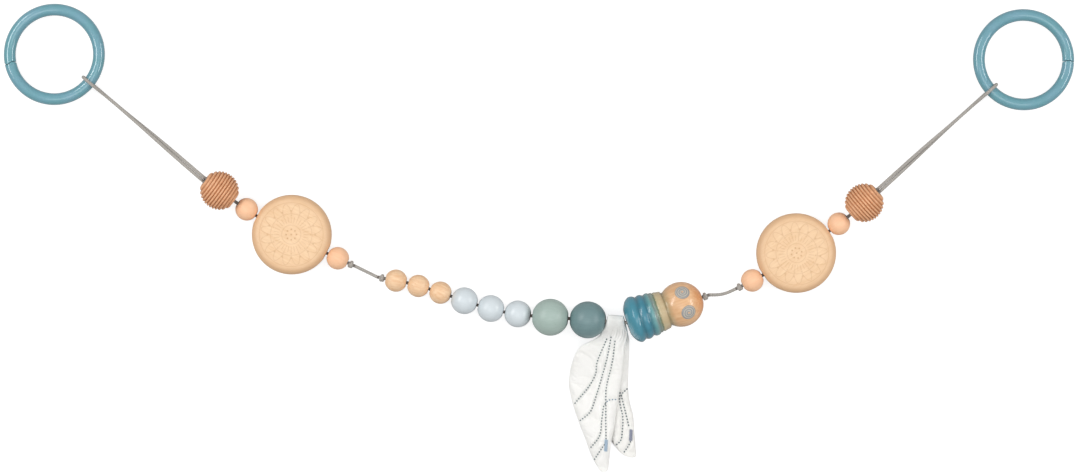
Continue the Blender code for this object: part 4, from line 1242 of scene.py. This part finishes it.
def loop_route(side):
    """Points out from the bead, half a turn round the ring's tube, and back, and the way across.

    A strand's place at x is mouth + x * forward + (a cos q) * across, and its height eases from the
    mouth's to the floor's while q turns from 0 to a right angle. The spread a grows near the ring.
    """
    mouth, crossing = pivot(side + "_loop_swing"), pivot(side + "_ring_tilt")
    forward = unit((crossing - mouth) * (1, 1, 0))
    across = np.cross(UP, forward)
    wrap = RING_TUBE / 2 + LOOP_GAP + CORD_DIAMETER / 2
    span = np.linalg.norm((crossing - mouth)[:2])
    x = np.concatenate([[LOOP_START], np.linspace(LOOP_START + CORD_DIAMETER, span, 160)])
    opening = 1 - ease((span - x) / LOOP_OPENING)
    apart = LOOP_SPREAD / 2 + (wrap - LOOP_SPREAD / 2) * opening
    turn = math.pi / 2 * ease(x / span / LOOP_TWIST_SHARE)
    floor = CORD_DIAMETER / 2 + apart * np.sin(turn)
    height = floor + (mouth[2] - floor) * (1 - ease(x / LOOP_RISE))
    strands = []
    for hand in (1, -1):
        place = mouth + x[:, None] * forward + (hand * apart * np.cos(turn))[:, None] * across
        place[:, 2] = height + hand * apart * np.sin(turn)
        strands.append(place)
    angle = np.linspace(math.pi / 2, -math.pi / 2, 40)[1:-1, None]
    wrapped = crossing + wrap * (np.cos(angle) * forward + np.sin(angle) * UP)
    return np.concatenate([strands[0], wrapped, strands[1][::-1]]), across


for side in RINGS:
    route, across = loop_route(side)
    length = run_along(route)[-1]
    route = read_evenly(route, int(length / CORD_STEP))
    piece = cord_piece(side + "_doubled_cord", [cord_tube(route, reference=across)],
                       side + "_loop", side + "_hanging_loop")
    print(side, "cord", round(length / MM, 1), "mm")


# %% [markdown]
# ## Wings
# Each wing is two layers of cotton, sewn along the outline, turned, lightly padded, and then sewn
# through along its veins. Both are gathered into a tab that is folded round the cord. A flat sheet
# would look like paper, so each wing is a closed pillow: a grid of rows from root to tip, each a
# ring over the top and back below. The front wing's rows run on into the tab, because on the toy
# the gathered cloth is one, and that one piece bends where the wing is hinged.

# %% Wing patterns
TAB_SLOPE = math.radians(26.0)
TAB_REACH = 8.0 * MM
TAB_BACK = 3.8 * MM
# How far the tab's edges are to each side at distances from the cord, in millimetres, up to the wing
TAB_EDGES = ((-3.8, -4.2, 4.2), (0.0, -5.0, 5.2), (3.0, -5.7, 6.2), (5.5, -6.9, 6.9))
TAB_HALF = 2.8 * MM
TAB_TIP_HALF = 1.6 * MM
HINGE_GAP = 0.8 * MM
ROOT_THICKNESS = 1.0 * MM
EDGE_THICKNESS = 0.6 * MM
SLOPE_LENGTH = 26.0 * MM
LEAN = math.tan(math.radians(4.0))
CLOTH_GAP = 0.3 * MM

# The place along the wing as a share of its length, then its left and right edges as shares of its width
FRONT_SHARES = np.array((
    (0.0, -0.22, 0.33), (0.025, -0.33, 0.31), (0.07, -0.56, 0.28), (0.14, -0.71, 0.265),
    (0.21, -0.78, 0.255), (0.29, -0.83, 0.235), (0.38, -0.845, 0.19), (0.45, -0.81, 0.155),
    (0.51, -0.77, 0.13), (0.66, -0.63, 0.07), (0.78, -0.50, 0.01), (0.85, -0.43, -0.01),
    (0.92, -0.34, -0.03), (0.97, -0.25, -0.05), (1.0, -0.18, -0.10),
))
# The back wing's first row is tucked up under the tab
BACK_SHARES = np.array((
    (-0.075, -0.30, 0.24), (0.0, -0.45, 0.35), (0.10, -0.48, 0.365), (0.29, -0.50, 0.345),
    (0.42, -0.50, 0.34), (0.53, -0.48, 0.385), (0.65, -0.43, 0.51), (0.78, -0.34, 0.55),
    (0.88, -0.24, 0.59), (0.93, -0.08, 0.60), (0.975, 0.12, 0.605), (1.0, 0.36, 0.54),
))
# Veins on each wing's pattern, in millimetres across and out from its root
FRONT_VEINS = (
    ((-2.0, 0.7), (-7.1, 13.3), (-8.2, 20.7), (-12.2, 28.1), (-19.6, 37.4)),
    ((0.2, -0.5), (-2.0, 11.4), (-5.2, 23.4), (-9.5, 37.6), (-11.9, 42.0), (-17.2, 46.6)),
    ((2.3, 1.5), (0.7, 13.9), (-2.2, 26.6), (-2.6, 34.9), (-2.5, 55.3)),
    ((-2.6, 35.5), (-3.8, 37.6), (-4.7, 44.2), (-6.0, 53.4), (-11.4, 60.8)),
    ((-3.1, 57.4), (-4.7, 59.7), (-8.8, 66.4)),
)
FRONT_CROSS = (((-2.3, 34.9), (-0.4, 33.6), (3.2, 33.2)),)
BACK_VEINS = (
    ((0.7, 30.0), (0.7, 35.9), (2.3, 43.3), (2.1, 50.3), (1.3, 55.7), (-1.4, 58.7)),
    ((0.7, 30.0), (1.4, 31.8), (2.9, 37.4), (5.8, 48.9)),
    ((6.6, 55.8), (5.3, 58.6), (2.9, 62.3)),
    ((1.8, 30.8), (5.2, 27.7)),
)
Wing = namedtuple("Wing", "name length width thickness shift rows tip veins lines")
front = Wing("front_wing", 72.6 * MM, 26.5 * MM, 2.8 * MM, -1.9 * MM, FRONT_SHARES, 0.97, FRONT_VEINS,
             FRONT_CROSS)
back = Wing("back_wing", 64.7 * MM, 15.4 * MM, 2.4 * MM, 2.3 * MM, BACK_SHARES, 0.975, BACK_VEINS, ())
print("veins", sum(len(wing.veins) + len(wing.lines) for wing in (front, back)))


# %% Outline and thickness
ROWS = 170
TIP_ROWS = 11
LAYER = 60
# The tip's last row keeps a little width, and the padding thins out over the last share of the length
TIP_LEAST = 0.0004
TIP_TAPER_SHARE = 0.12
TIP_THICKNESS_SHARE = 0.2
# Where the front wing climbs onto the back one, in widths across, and comes down again, in lengths
CLIMB_SHARES = (-0.50, 0.38)
DESCENT_SHARES = (0.80, 0.12)


def smooth_values(at, places, values):
    """Cubic through values, whose slope at each place is that of the line between its neighbours."""
    slopes = np.gradient(values, places)
    part = np.clip(np.searchsorted(places, at, side="right") - 1, 0, len(places) - 2)
    step = places[part + 1] - places[part]
    t = (at - places[part]) / step
    return ((2 * t**3 - 3 * t**2 + 1) * values[part] + (t**3 - 2 * t**2 + t) * step * slopes[part]
            + (3 * t**2 - 2 * t**3) * values[part + 1] + (t**3 - t**2) * step * slopes[part + 1])


def wing_edges(wing, reach):
    """Left and right edges at shares of the wing's length, in metres.

    Past the last share before the tip, the half-width follows an ellipse, so the tip is round.
    """
    held = np.minimum(reach, wing.tip)
    left, right = (smooth_values(held, wing.rows[:, 0], wing.rows[:, side]) for side in (1, 2))
    middle = smooth_values(reach, wing.rows[:, 0], (wing.rows[:, 1] + wing.rows[:, 2]) / 2)
    past = np.clip((reach - wing.tip) / (1 - wing.tip), 0, 1)
    half = (right - left) / 2 * np.sqrt(np.maximum(1 - past**2, TIP_LEAST))
    return (middle - half) * wing.width, (middle + half) * wing.width


def pattern_grid(wing):
    """Shares along the wing, and the across and out of each point of one layer, in metres."""
    tip = 1 - (1 - wing.tip) * (1 - np.sin(np.linspace(0, math.pi / 2, TIP_ROWS + 1)[1:]))
    reach = np.concatenate([np.linspace(wing.rows[0, 0], wing.tip, ROWS - TIP_ROWS), tip])
    left, right = wing_edges(wing, reach)
    share = np.linspace(0, 1, LAYER)
    across = left[:, None] + (right - left)[:, None] * share
    return reach, share, across, np.repeat(reach[:, None] * wing.length, LAYER, axis=1)


def from_lines(lines, across, out):
    """Distance in metres from each point of a pattern to the nearest of some smooth lines."""
    nearest = np.full(across.shape, 1.0)
    for line in lines:
        for x, y in smooth_path(line, 120) * MM:
            nearest = np.minimum(nearest, np.hypot(across - x, out - y))
    return nearest


def full_thickness(wing, reach):
    """Thickness in the middle of each row: thin at the tab, full past the slope, thin at the tip."""
    settled = ease(reach * wing.length / SLOPE_LENGTH)
    full = ROOT_THICKNESS + (wing.thickness - ROOT_THICKNESS) * settled
    taper = np.maximum(ease((1 - reach) / TIP_TAPER_SHARE), TIP_THICKNESS_SHARE)
    return EDGE_THICKNESS + (full - EDGE_THICKNESS) * taper


def lie(wing, across, reach):
    """Height of the underside: up a slope at the tab, and over the back wing for the front one.

    A row that is tucked under the tab goes on up at the tab's own slope.
    """
    rest = np.zeros_like(across)
    if wing is front:
        climb = ease((across / wing.width - CLIMB_SHARES[0]) / CLIMB_SHARES[1])
        descent = 1 - ease((reach - DESCENT_SHARES[0]) / DESCENT_SHARES[1])
        rest = (back.thickness + CLOTH_GAP) * climb * descent
    root = pivot(wing.name + "_flap")[2] - ROOT_THICKNESS / 2
    tucked = np.minimum(reach, 0) * wing.length * math.tan(TAB_SLOPE)
    return root + (rest - root) * ease(reach * wing.length / SLOPE_LENGTH) - tucked


# %% Wings in the frame
LEVEL_X = unit(-turning_axis("wings_swing") * (1, 1, 0))
LEVEL_Y = np.cross(UP, LEVEL_X)
SLOPE_OUT = -math.cos(TAB_SLOPE) * LEVEL_Y - math.sin(TAB_SLOPE) * UP
SLOPE_UP = -math.sin(TAB_SLOPE) * LEVEL_Y + math.cos(TAB_SLOPE) * UP


def place_on_lie(wing, across, out, height):
    """Put points of a pattern where the wing lies: base + x * along + out * (lean, -1) + height * up."""
    base = pivot(wing.name + "_flap") * (1, 1, 0) + wing.shift * LEVEL_X - HINGE_GAP / 2 * LEVEL_Y
    sideways = (across + out * LEAN)[..., None] * LEVEL_X
    return base + sideways - out[..., None] * LEVEL_Y + height[..., None] * UP


# %% Gathers
# Folds across the tab: how many waves and how strong each of two sets is
BROAD_FOLDS, FINE_FOLDS = (4.0, 0.55), (9.5, 0.45)
FOLD_PHASE = 0.5
FOLD_SLANT = 9 * MM
# Where the folds start and end, as distances out from the wings' root, and how far each change takes
FOLDS_START, FOLDS_RISE = -8 * MM, 5 * MM
FOLDS_END, FOLDS_FALL = -1 * MM, 13 * MM
LEAST_FOLD = 0.15


def gathers(share, out):
    """Folds that fan out from the tab: two sines of the share across, fading away from the tab.

    They are deepest on the right, where the back wing's cloth pushes them together.
    """
    fade = ease((out - FOLDS_START) / FOLDS_RISE) * (1 - ease((out - FOLDS_END) / FOLDS_FALL))
    broad = BROAD_FOLDS[1] * np.sin(math.tau * BROAD_FOLDS[0] * share + FOLD_PHASE)
    fine = FINE_FOLDS[1] * np.sin(math.tau * FINE_FOLDS[0] * share + out / FOLD_SLANT)
    return fade * (broad + fine) * (LEAST_FOLD + (1 - LEAST_FOLD) * ease(share * 1.4 - 0.3))


def cloth_ring(top, bottom):
    """Rows that go over the top from left to right and back below."""
    return np.concatenate([top, bottom[:, ::-1]], axis=1)


# %% [markdown]
# ## Padding by simulation
# Sewn cloth that is stuffed from inside puckers along its seams, which no plain formula gives. So
# each wing starts as a flat cushion, Blender's cloth blows it up while its outline and its veins
# are held, and the cloth is a little larger than the seams that hold it. Cloth settings suit pieces
# about a metre wide, so the cushion is simulated enlarged.

# %% Blow up a cushion
CLOTH_SCALE = 20.0
CLOTH_FRAMES = 26
CLOTH_GROWTH = 0.05


def puffed(wing, across, out, half, held):
    """Where the top's and the bottom's points come to rest, as offsets from the flat pattern.

    half is each point's first height above the middle, and held marks the points on a seam.
    """
    scene = bpy.context.scene
    start = cloth_ring(*(np.stack([across, out, side * half], axis=-1) for side in (1, -1))) * CLOTH_SCALE
    mesh = bpy.data.meshes.new(wing.name + "_cushion")
    fill_mesh(mesh, start.reshape(-1, 3), tube_faces(*start.shape[:2]))
    cushion = bpy.data.objects.new(wing.name + "_cushion", mesh)
    scene.collection.objects.link(cushion)
    seams = cushion.vertex_groups.new(name="seams")
    seams.add(np.flatnonzero(cloth_ring(held, held)).tolist(), 1.0, "REPLACE")
    cloth = cushion.modifiers.new("padding", "CLOTH")
    cloth.settings.vertex_group_mass = "seams"
    cloth.settings.quality = 5
    cloth.settings.mass = 0.2
    cloth.settings.tension_stiffness = cloth.settings.compression_stiffness = 30
    cloth.settings.shear_stiffness = 8
    cloth.settings.bending_stiffness = 0.3
    cloth.settings.air_damping = 3
    cloth.settings.shrink_min = -CLOTH_GROWTH
    cloth.settings.use_pressure = True
    cloth.settings.uniform_pressure_force = 9
    cloth.settings.effector_weights.gravity = 0
    cloth.point_cache.frame_start, cloth.point_cache.frame_end = 1, CLOTH_FRAMES
    for moment in range(1, CLOTH_FRAMES + 1):
        scene.frame_set(moment)
    rested = np.empty(start.size, np.float32)
    cushion.evaluated_get(bpy.context.evaluated_depsgraph_get()).data.vertices.foreach_get("co", rested)
    scene.frame_set(1)
    bpy.data.objects.remove(cushion)
    rested = rested.reshape(start.shape) / CLOTH_SCALE
    columns = across.shape[1]
    offsets = [layer - np.stack([across, out, 0 * out], axis=-1)
               for layer in (rested[:, :columns], rested[:, :columns - 1:-1])]
    rise = float(np.percentile(offsets[0][..., 2], 97))
    print(wing.name, "cushion rested at", round(rise / MM, 2), "mm a side")
    return offsets


# %% A wing's two layers
QUILT_HALF = 1.25 * MM
QUILT_PULL = 0.72
PLUMP = 1.08
SEAM_HALF = 0.3 * MM
RIPPLE = 0.24 * MM
# Over these shares of the length from the root and the tip, the simulated cushion takes over
BLOWN_SHARES = (0.05, 0.08)


def wing_layers(wing):
    """Top and bottom of a wing on its lie, with the pattern and how deep each point is in a fold.

    The swell across is (1 - (2 s - 1)^4) ^ 0.7, and each vein pulls the two layers together. The
    bottom rests flat on whatever the wing lies on.
    """
    reach, share, across, out = pattern_grid(wing)
    swell = (1 - (2 * share - 1) ** 4)[None, :] ** 0.7
    seam = from_lines(wing.veins + wing.lines, across, out)
    pull = np.exp(-((seam / QUILT_HALF) ** 2))
    full = full_thickness(wing, reach)[:, None]
    thick = EDGE_THICKNESS + (PLUMP * full - EDGE_THICKNESS) * swell * (1 - QUILT_PULL * pull)
    half = thick / 2 * (0.1 + 0.9 * ease(swell / 0.35))
    offsets = [np.stack([0 * out, 0 * out, side * half], axis=-1) for side in (1, -1)]
    held = seam < SEAM_HALF
    held[:, [0, -1]] = held[[0, -1]] = True
    blown = puffed(wing, across, out, half, held)
    grown = wing.thickness / np.percentile(blown[0][..., 2] - blown[1][..., 2], 95)
    inner = (ease(reach / BLOWN_SHARES[0]) * ease((1 - reach) / BLOWN_SHARES[1]))[:, None, None]
    offsets = [offset * (1, 1, grown) * inner + (1 - inner) * plain
               for offset, plain in zip(blown, offsets)]
    low = lie(wing, across, reach[:, None])
    middle = low + 0.25 * (full * swell + thick)
    fold = gathers(share[None, :], out)
    ripple = RIPPLE * fold * ease(thick / MM)
    top, bottom = (place_on_lie(wing, across + offset[..., 0], out + offset[..., 1],
                                np.maximum(middle + offset[..., 2], low) + lift * ripple)
                   for offset, lift in zip(offsets, (1.0, 0.6)))
    return top, bottom, across, out, np.clip(-fold, 0, 1)


# %% The tab
TAB_ROWS = 44
TAB_BACK_ROWS = 13
# The back's first row, as an angle a little short of a right one, so that it keeps a thickness
TAB_BACK_ANGLE = -1.5
# The underside rises to the wing's over these shares of the tab, and a little of the wing shapes its edge
TAB_RISE_SHARES = (0.78, 0.3)
NEXT_SHARE = 0.03
TAB_FOLDS_ABOVE, TAB_FOLDS_BELOW = 0.26 * MM, 0.25 * MM
TAB_FOLDS_FADE = 4 * MM


def tab_layers(wing):
    """Top and bottom of the tab, from its round back over the cord to the root of the front wing.

    A point is the cord's middle + x * along + r * outwards + z * square to it. z is an ellipse
    behind the cord and a straight taper in front, and the sides are rounded.
    """
    middle = pivot("wings_swing")
    turn = np.linspace(TAB_BACK_ANGLE, 0, TAB_BACK_ROWS + 1)[:-1]
    r = np.concatenate([TAB_BACK * np.sin(turn), np.linspace(0, TAB_REACH, TAB_ROWS - TAB_BACK_ROWS)])
    half = np.where(r < 0, TAB_HALF * np.sqrt(np.maximum(1 - (r / TAB_BACK) ** 2, 0)),
                    TAB_HALF + (TAB_TIP_HALF - TAB_HALF) * ease(r / TAB_REACH))
    reach = np.array([0.0, NEXT_SHARE])
    next_left, next_right = (edge + wing.shift for edge in wing_edges(wing, reach))
    next_rows = np.stack([TAB_REACH + reach * wing.length, next_left, next_right], axis=1)
    edges = np.concatenate([np.array(TAB_EDGES) * MM, next_rows])
    left, right = (smooth_values(r, edges[:, 0], edges[:, side]) for side in (1, 2))
    share = np.linspace(0, 1, LAYER)
    x = left[:, None] + (right - left)[:, None] * share
    side = (1 - np.abs(2 * share - 1) ** 8)[None, :] ** (1 / 4)
    out = np.repeat(r[:, None] - TAB_REACH, LAYER, axis=1)
    fold = gathers(share[None, :], out) * ease((r[:, None] + TAB_BACK) / TAB_FOLDS_FADE)
    rise = ease((r - TAB_RISE_SHARES[0] * TAB_REACH) / (TAB_RISE_SHARES[1] * TAB_REACH))[:, None]
    top = half[:, None] * side + TAB_FOLDS_ABOVE * fold
    bottom = -half[:, None] * side * (1 - rise) + (TAB_TIP_HALF - ROOT_THICKNESS) * rise
    bottom = bottom + TAB_FOLDS_BELOW * fold
    layers = [middle + x[..., None] * LEVEL_X + r[:, None, None] * SLOPE_OUT + z[..., None] * SLOPE_UP
              for z in (top, bottom)]
    return (*layers, x - wing.shift, out, np.clip(-fold, 0, 1))


# %% The cloth pieces
# Rows before and after the join that are softened, and how often
EASED_BEFORE, EASED_AFTER, EASED_TIMES = 9, 12, 14
VEIN_TINT_HALF = 0.32 * MM
# The underside's weave is read from another part of the cloth
LAYER_SHIFT = 0.1
BACK_SHADE = 0.55
BACK_SHADE_REACH = 50 * MM


def eased_rows(points, first, last):
    """Soften a stretch of rows: each becomes the mean of itself and the middle of its neighbours."""
    for _ in range(EASED_TIMES):
        middle = (points[first - 1:last - 1] + points[first + 1:last + 1]) / 2
        points[first:last] = (points[first:last] + middle) / 2
    return points


def make_cloth(name, wing, layers, seam_row=None):
    """A closed piece of cloth from top and bottom layers."""
    top, bottom, across, out, fold = layers
    points = cloth_ring(top, bottom)
    if seam_row:
        points = eased_rows(points, seam_row - EASED_BEFORE, seam_row + EASED_AFTER)
    patterns = (np.stack([across + shift, out, 0 * out], axis=-1) for shift in (0, LAYER_SHIFT))
    pattern = cloth_ring(*patterns) / MM
    vein = from_lines(wing.veins, across, out)
    tint = np.exp(-((vein / VEIN_TINT_HALF) ** 2))
    # Painted shade: in the hollows of the gathers, and on the back wing, growing from its root outwards
    shade = np.maximum(fold, BACK_SHADE * ease(out / BACK_SHADE_REACH) * (wing is back))
    return new_piece(name, points, tube_faces(*points.shape[:2]), CLOTH, place=pattern, sharp=70,
                     fold=cloth_ring(shade, shade), vein=cloth_ring(tint, tint))


tab, blade = tab_layers(front), wing_layers(front)
whole = [np.concatenate(pair) for pair in zip(tab, blade)]
front_cloth = make_cloth("front_wing_and_tab", front, whole, len(tab[0]))
back_cloth = make_cloth("back_wing_cloth", back, wing_layers(back))


def hinge(piece):
    """The piece's transform is baked into its mesh."""
    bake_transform(piece)


for cloth, wing_name, nodes in ((front_cloth, "front_wing", ("wing_tab", "front_wing")),
                                (back_cloth, "back_wing", ("back_wing",))):
    hinge(cloth)
    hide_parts(*nodes)
print("faces of the front wing", len(front_cloth.data.polygons))


# %% [markdown]
# ## Machine stitching
# The veins are rows of machine stitches through both layers. Each stitch is a short thread with
# round ends that lies in the groove it makes. A ray from above finds the cloth's surface under
# each point of a stitch, so the stitches follow every fold, and each one has only a few faces.

# %% Stitches
STITCH_PITCH = 1.6 * MM
STITCH_LENGTH = 0.95 * MM
THREAD_RADIUS = 0.4 * MM
RAY_START = 50 * MM
STITCH_RINGS = np.array([0.15, 0.8, 1.0, 0.8, 0.15])
STITCH_SIDES = 6
STITCH_LIFT = 0.3 * THREAD_RADIUS


def surface_tree(piece):
    """A search tree of a piece's faces."""
    mesh = piece.data
    points = np.empty(len(mesh.vertices) * 3, np.float32)
    mesh.vertices.foreach_get("co", points)
    faces = [tuple(face.vertices) for face in mesh.polygons]
    return BVHTree.FromPolygons(points.reshape(-1, 3).tolist(), faces)


def on_surface(tree, paths, way, lift):
    """Paths dropped onto a piece, from above for way 1 and from below for way -1.

    They lie a little proud of it, and a path with a point that misses the piece is left out.
    """
    dropped = paths.reshape(-1, 3).copy()
    for i, (x, y, _) in enumerate(dropped):
        hit = tree.ray_cast(Vector((x, y, RAY_START * way)), Vector((0, 0, -way)))[0]
        dropped[i, 2] = hit.z + way * lift if hit else np.nan
    dropped = dropped.reshape(paths.shape)
    return dropped[~np.isnan(dropped[..., 2]).any(axis=1)]


def threads(paths, radius):
    """Short round-ended threads along an array of paths: points and faces."""
    tangent = unit(np.gradient(paths, axis=1))
    side = unit(np.cross(tangent, UP))
    over = np.cross(side, tangent)
    angle = np.linspace(0, math.tau, STITCH_SIDES, endpoint=False)
    ring = np.cos(angle)[:, None] * side[:, :, None] + np.sin(angle)[:, None] * over[:, :, None]
    points = paths[:, :, None] + radius * STITCH_RINGS[None, :, None, None] * ring
    first = np.arange(len(paths))[:, None, None] * len(STITCH_RINGS) * STITCH_SIDES
    faces = [(group[None] + first).reshape(-1, group.shape[1])
             for group in tube_faces(len(STITCH_RINGS), STITCH_SIDES)]
    return points.reshape(-1, 3), faces


def thread_piece(name, paths, radius, material):
    """A piece of threads, with its transform baked into its mesh. It gives back how many threads there are.
    """
    points, faces = threads(paths, radius)
    hinge(new_piece(name, points, faces, material, hollow=np.zeros(len(points))))
    return len(paths)


def stitch_paths(wing, line):
    """Five points for each stitch along a line of the pattern, before they are dropped."""
    path = smooth_path(line, 400) * MM
    run = run_along(path)
    starts = np.arange(0.1 * MM, run[-1] - STITCH_LENGTH, STITCH_PITCH)
    at = starts[:, None] + np.linspace(0, STITCH_LENGTH, len(STITCH_RINGS))[None, :]
    across, out = (np.interp(at, run, path[:, column]) for column in (0, 1))
    return place_on_lie(wing, across, out, np.zeros_like(across))


def sew(name, wing, cloth, lines, material):
    """Stitches on both faces of a wing along some of its lines."""
    tree = surface_tree(cloth)
    paths = np.concatenate([stitch_paths(wing, line) for line in lines])
    paths = np.concatenate([on_surface(tree, paths, way, STITCH_LIFT) for way in (1, -1)])
    return thread_piece(name, paths, THREAD_RADIUS, material)


print("stitches", sew("front_wing_veins", front, front_cloth, front.veins, THREAD),
      sew("front_wing_cross_vein", front, front_cloth, front.lines, CROSS_THREAD),
      sew("back_wing_veins", back, back_cloth, back.veins, DARK_THREAD))


# %% Satin patches
# Each patch: its wing and cloth, the ends of its middle line and its width in millimetres, its thread
PATCHES = (
    ("front_wing_patch", front, front_cloth, (-2.3, 55.2), (-2.7, 61.1), 2.1, BLUE_THREAD),
    ("back_wing_patch", back, back_cloth, (6.8, 49.9), (6.5, 55.6), 2.0, SLATE_THREAD),
)
SATIN_PITCH = 0.3 * MM
SATIN_RADIUS = 0.6 * THREAD_RADIUS
SATIN_LIFT = 0.4 * THREAD_RADIUS


def satin(name, wing, cloth, first, last, width, material):
    """A bar of threads side by side across a line of the pattern."""
    first, last = np.array(first) * MM, np.array(last) * MM
    along = last - first
    square = unit(np.array([along[1], -along[0]]))
    centres = first + np.linspace(0, 1, int(np.linalg.norm(along) / SATIN_PITCH))[:, None] * along
    shares = np.linspace(-0.5, 0.5, len(STITCH_RINGS))
    spots = centres[:, None] + shares[:, None] * width * MM * square
    paths = place_on_lie(wing, spots[..., 0], spots[..., 1], np.zeros(spots.shape[:2]))
    paths = on_surface(surface_tree(cloth), paths, 1, SATIN_LIFT)
    thread_piece(name, paths, SATIN_RADIUS, material)


for patch in PATCHES:
    satin(*patch)
print("satin patches", len(PATCHES))


# %% [markdown]
# ## Floor and light
# The toy lies on a plain pale floor under two long soft lights, one on each side, which give the
# glossy pieces their two highlights, and a pale sky fills the shadows. The plain view keeps the
# colours as they are written.

# %% Floor
FLOOR_HALF = 3.0
FLOOR_DROP = 0.2 * MM


def make_floor():
    """A wide plain square just under the toy. The camera sees it lit up, as a white table is."""
    directions = ((-1, -1), (1, -1), (1, 1), (-1, 1))
    corners = [(x * FLOOR_HALF, y * FLOOR_HALF, -FLOOR_DROP) for x, y in directions]
    mesh = bpy.data.meshes.new("floor")
    mesh.from_pydata(corners, [], [(0, 1, 2, 3)])
    material, tree, shader = new_material("floor_paper", 0.9, Specular_IOR_Level=0.1)
    shader.inputs["Base Color"].default_value = (0.45, 0.45, 0.45, 1)
    shader.inputs["Emission Color"].default_value = (1, 1, 1, 1)
    seen = add(tree, "LightPath").outputs["Is Camera Ray"]
    tree.links.new(maths(tree, "MULTIPLY", seen, 0.75), shader.inputs["Emission Strength"])
    mesh.materials.append(material)
    floor = bpy.data.objects.new("floor", mesh)
    bpy.context.scene.collection.objects.link(floor)


make_floor()


# %% Lights
LIT_POINT = Vector((0.0, 0.0, 0.0))


def add_light(name, place, size, power):
    """A soft rectangular light that faces the toy."""
    data = bpy.data.lights.new(name, "AREA")
    data.shape = "RECTANGLE"
    data.size, data.size_y = size
    data.energy = power
    lamp = bpy.data.objects.new(name, data)
    lamp.location = place
    lamp.rotation_euler = (LIT_POINT - Vector(place)).to_track_quat("-Z", "Y").to_euler()
    bpy.context.scene.collection.objects.link(lamp)


add_light("left_softbox", (-1.4, 0.5, 1.35), (1.5, 0.45), 15.0)
add_light("right_softbox", (1.7, 0.1, 1.2), (1.4, 0.4), 12.3)
add_light("overhead_fill", (0.0, -0.4, 2.6), (1.6, 1.2), 9)
world = bpy.data.worlds.new("pale_room")
world.use_nodes = True
sky = world.node_tree
height = add(sky, "SeparateXYZ", Vector=add(sky, "TexCoord").outputs["Generated"]).outputs["Z"]
glow = add(sky, "MapRange", Value=height, n1=0.0, n2=1.0, n3=0.27, n4=0.75).outputs[0]
sky.nodes["Background"].inputs[0].default_value = (1, 1, 1, 1)
sky.links.new(glow, sky.nodes["Background"].inputs[1])
bpy.context.scene.world = world
bpy.context.scene.view_settings.view_transform = "Standard"
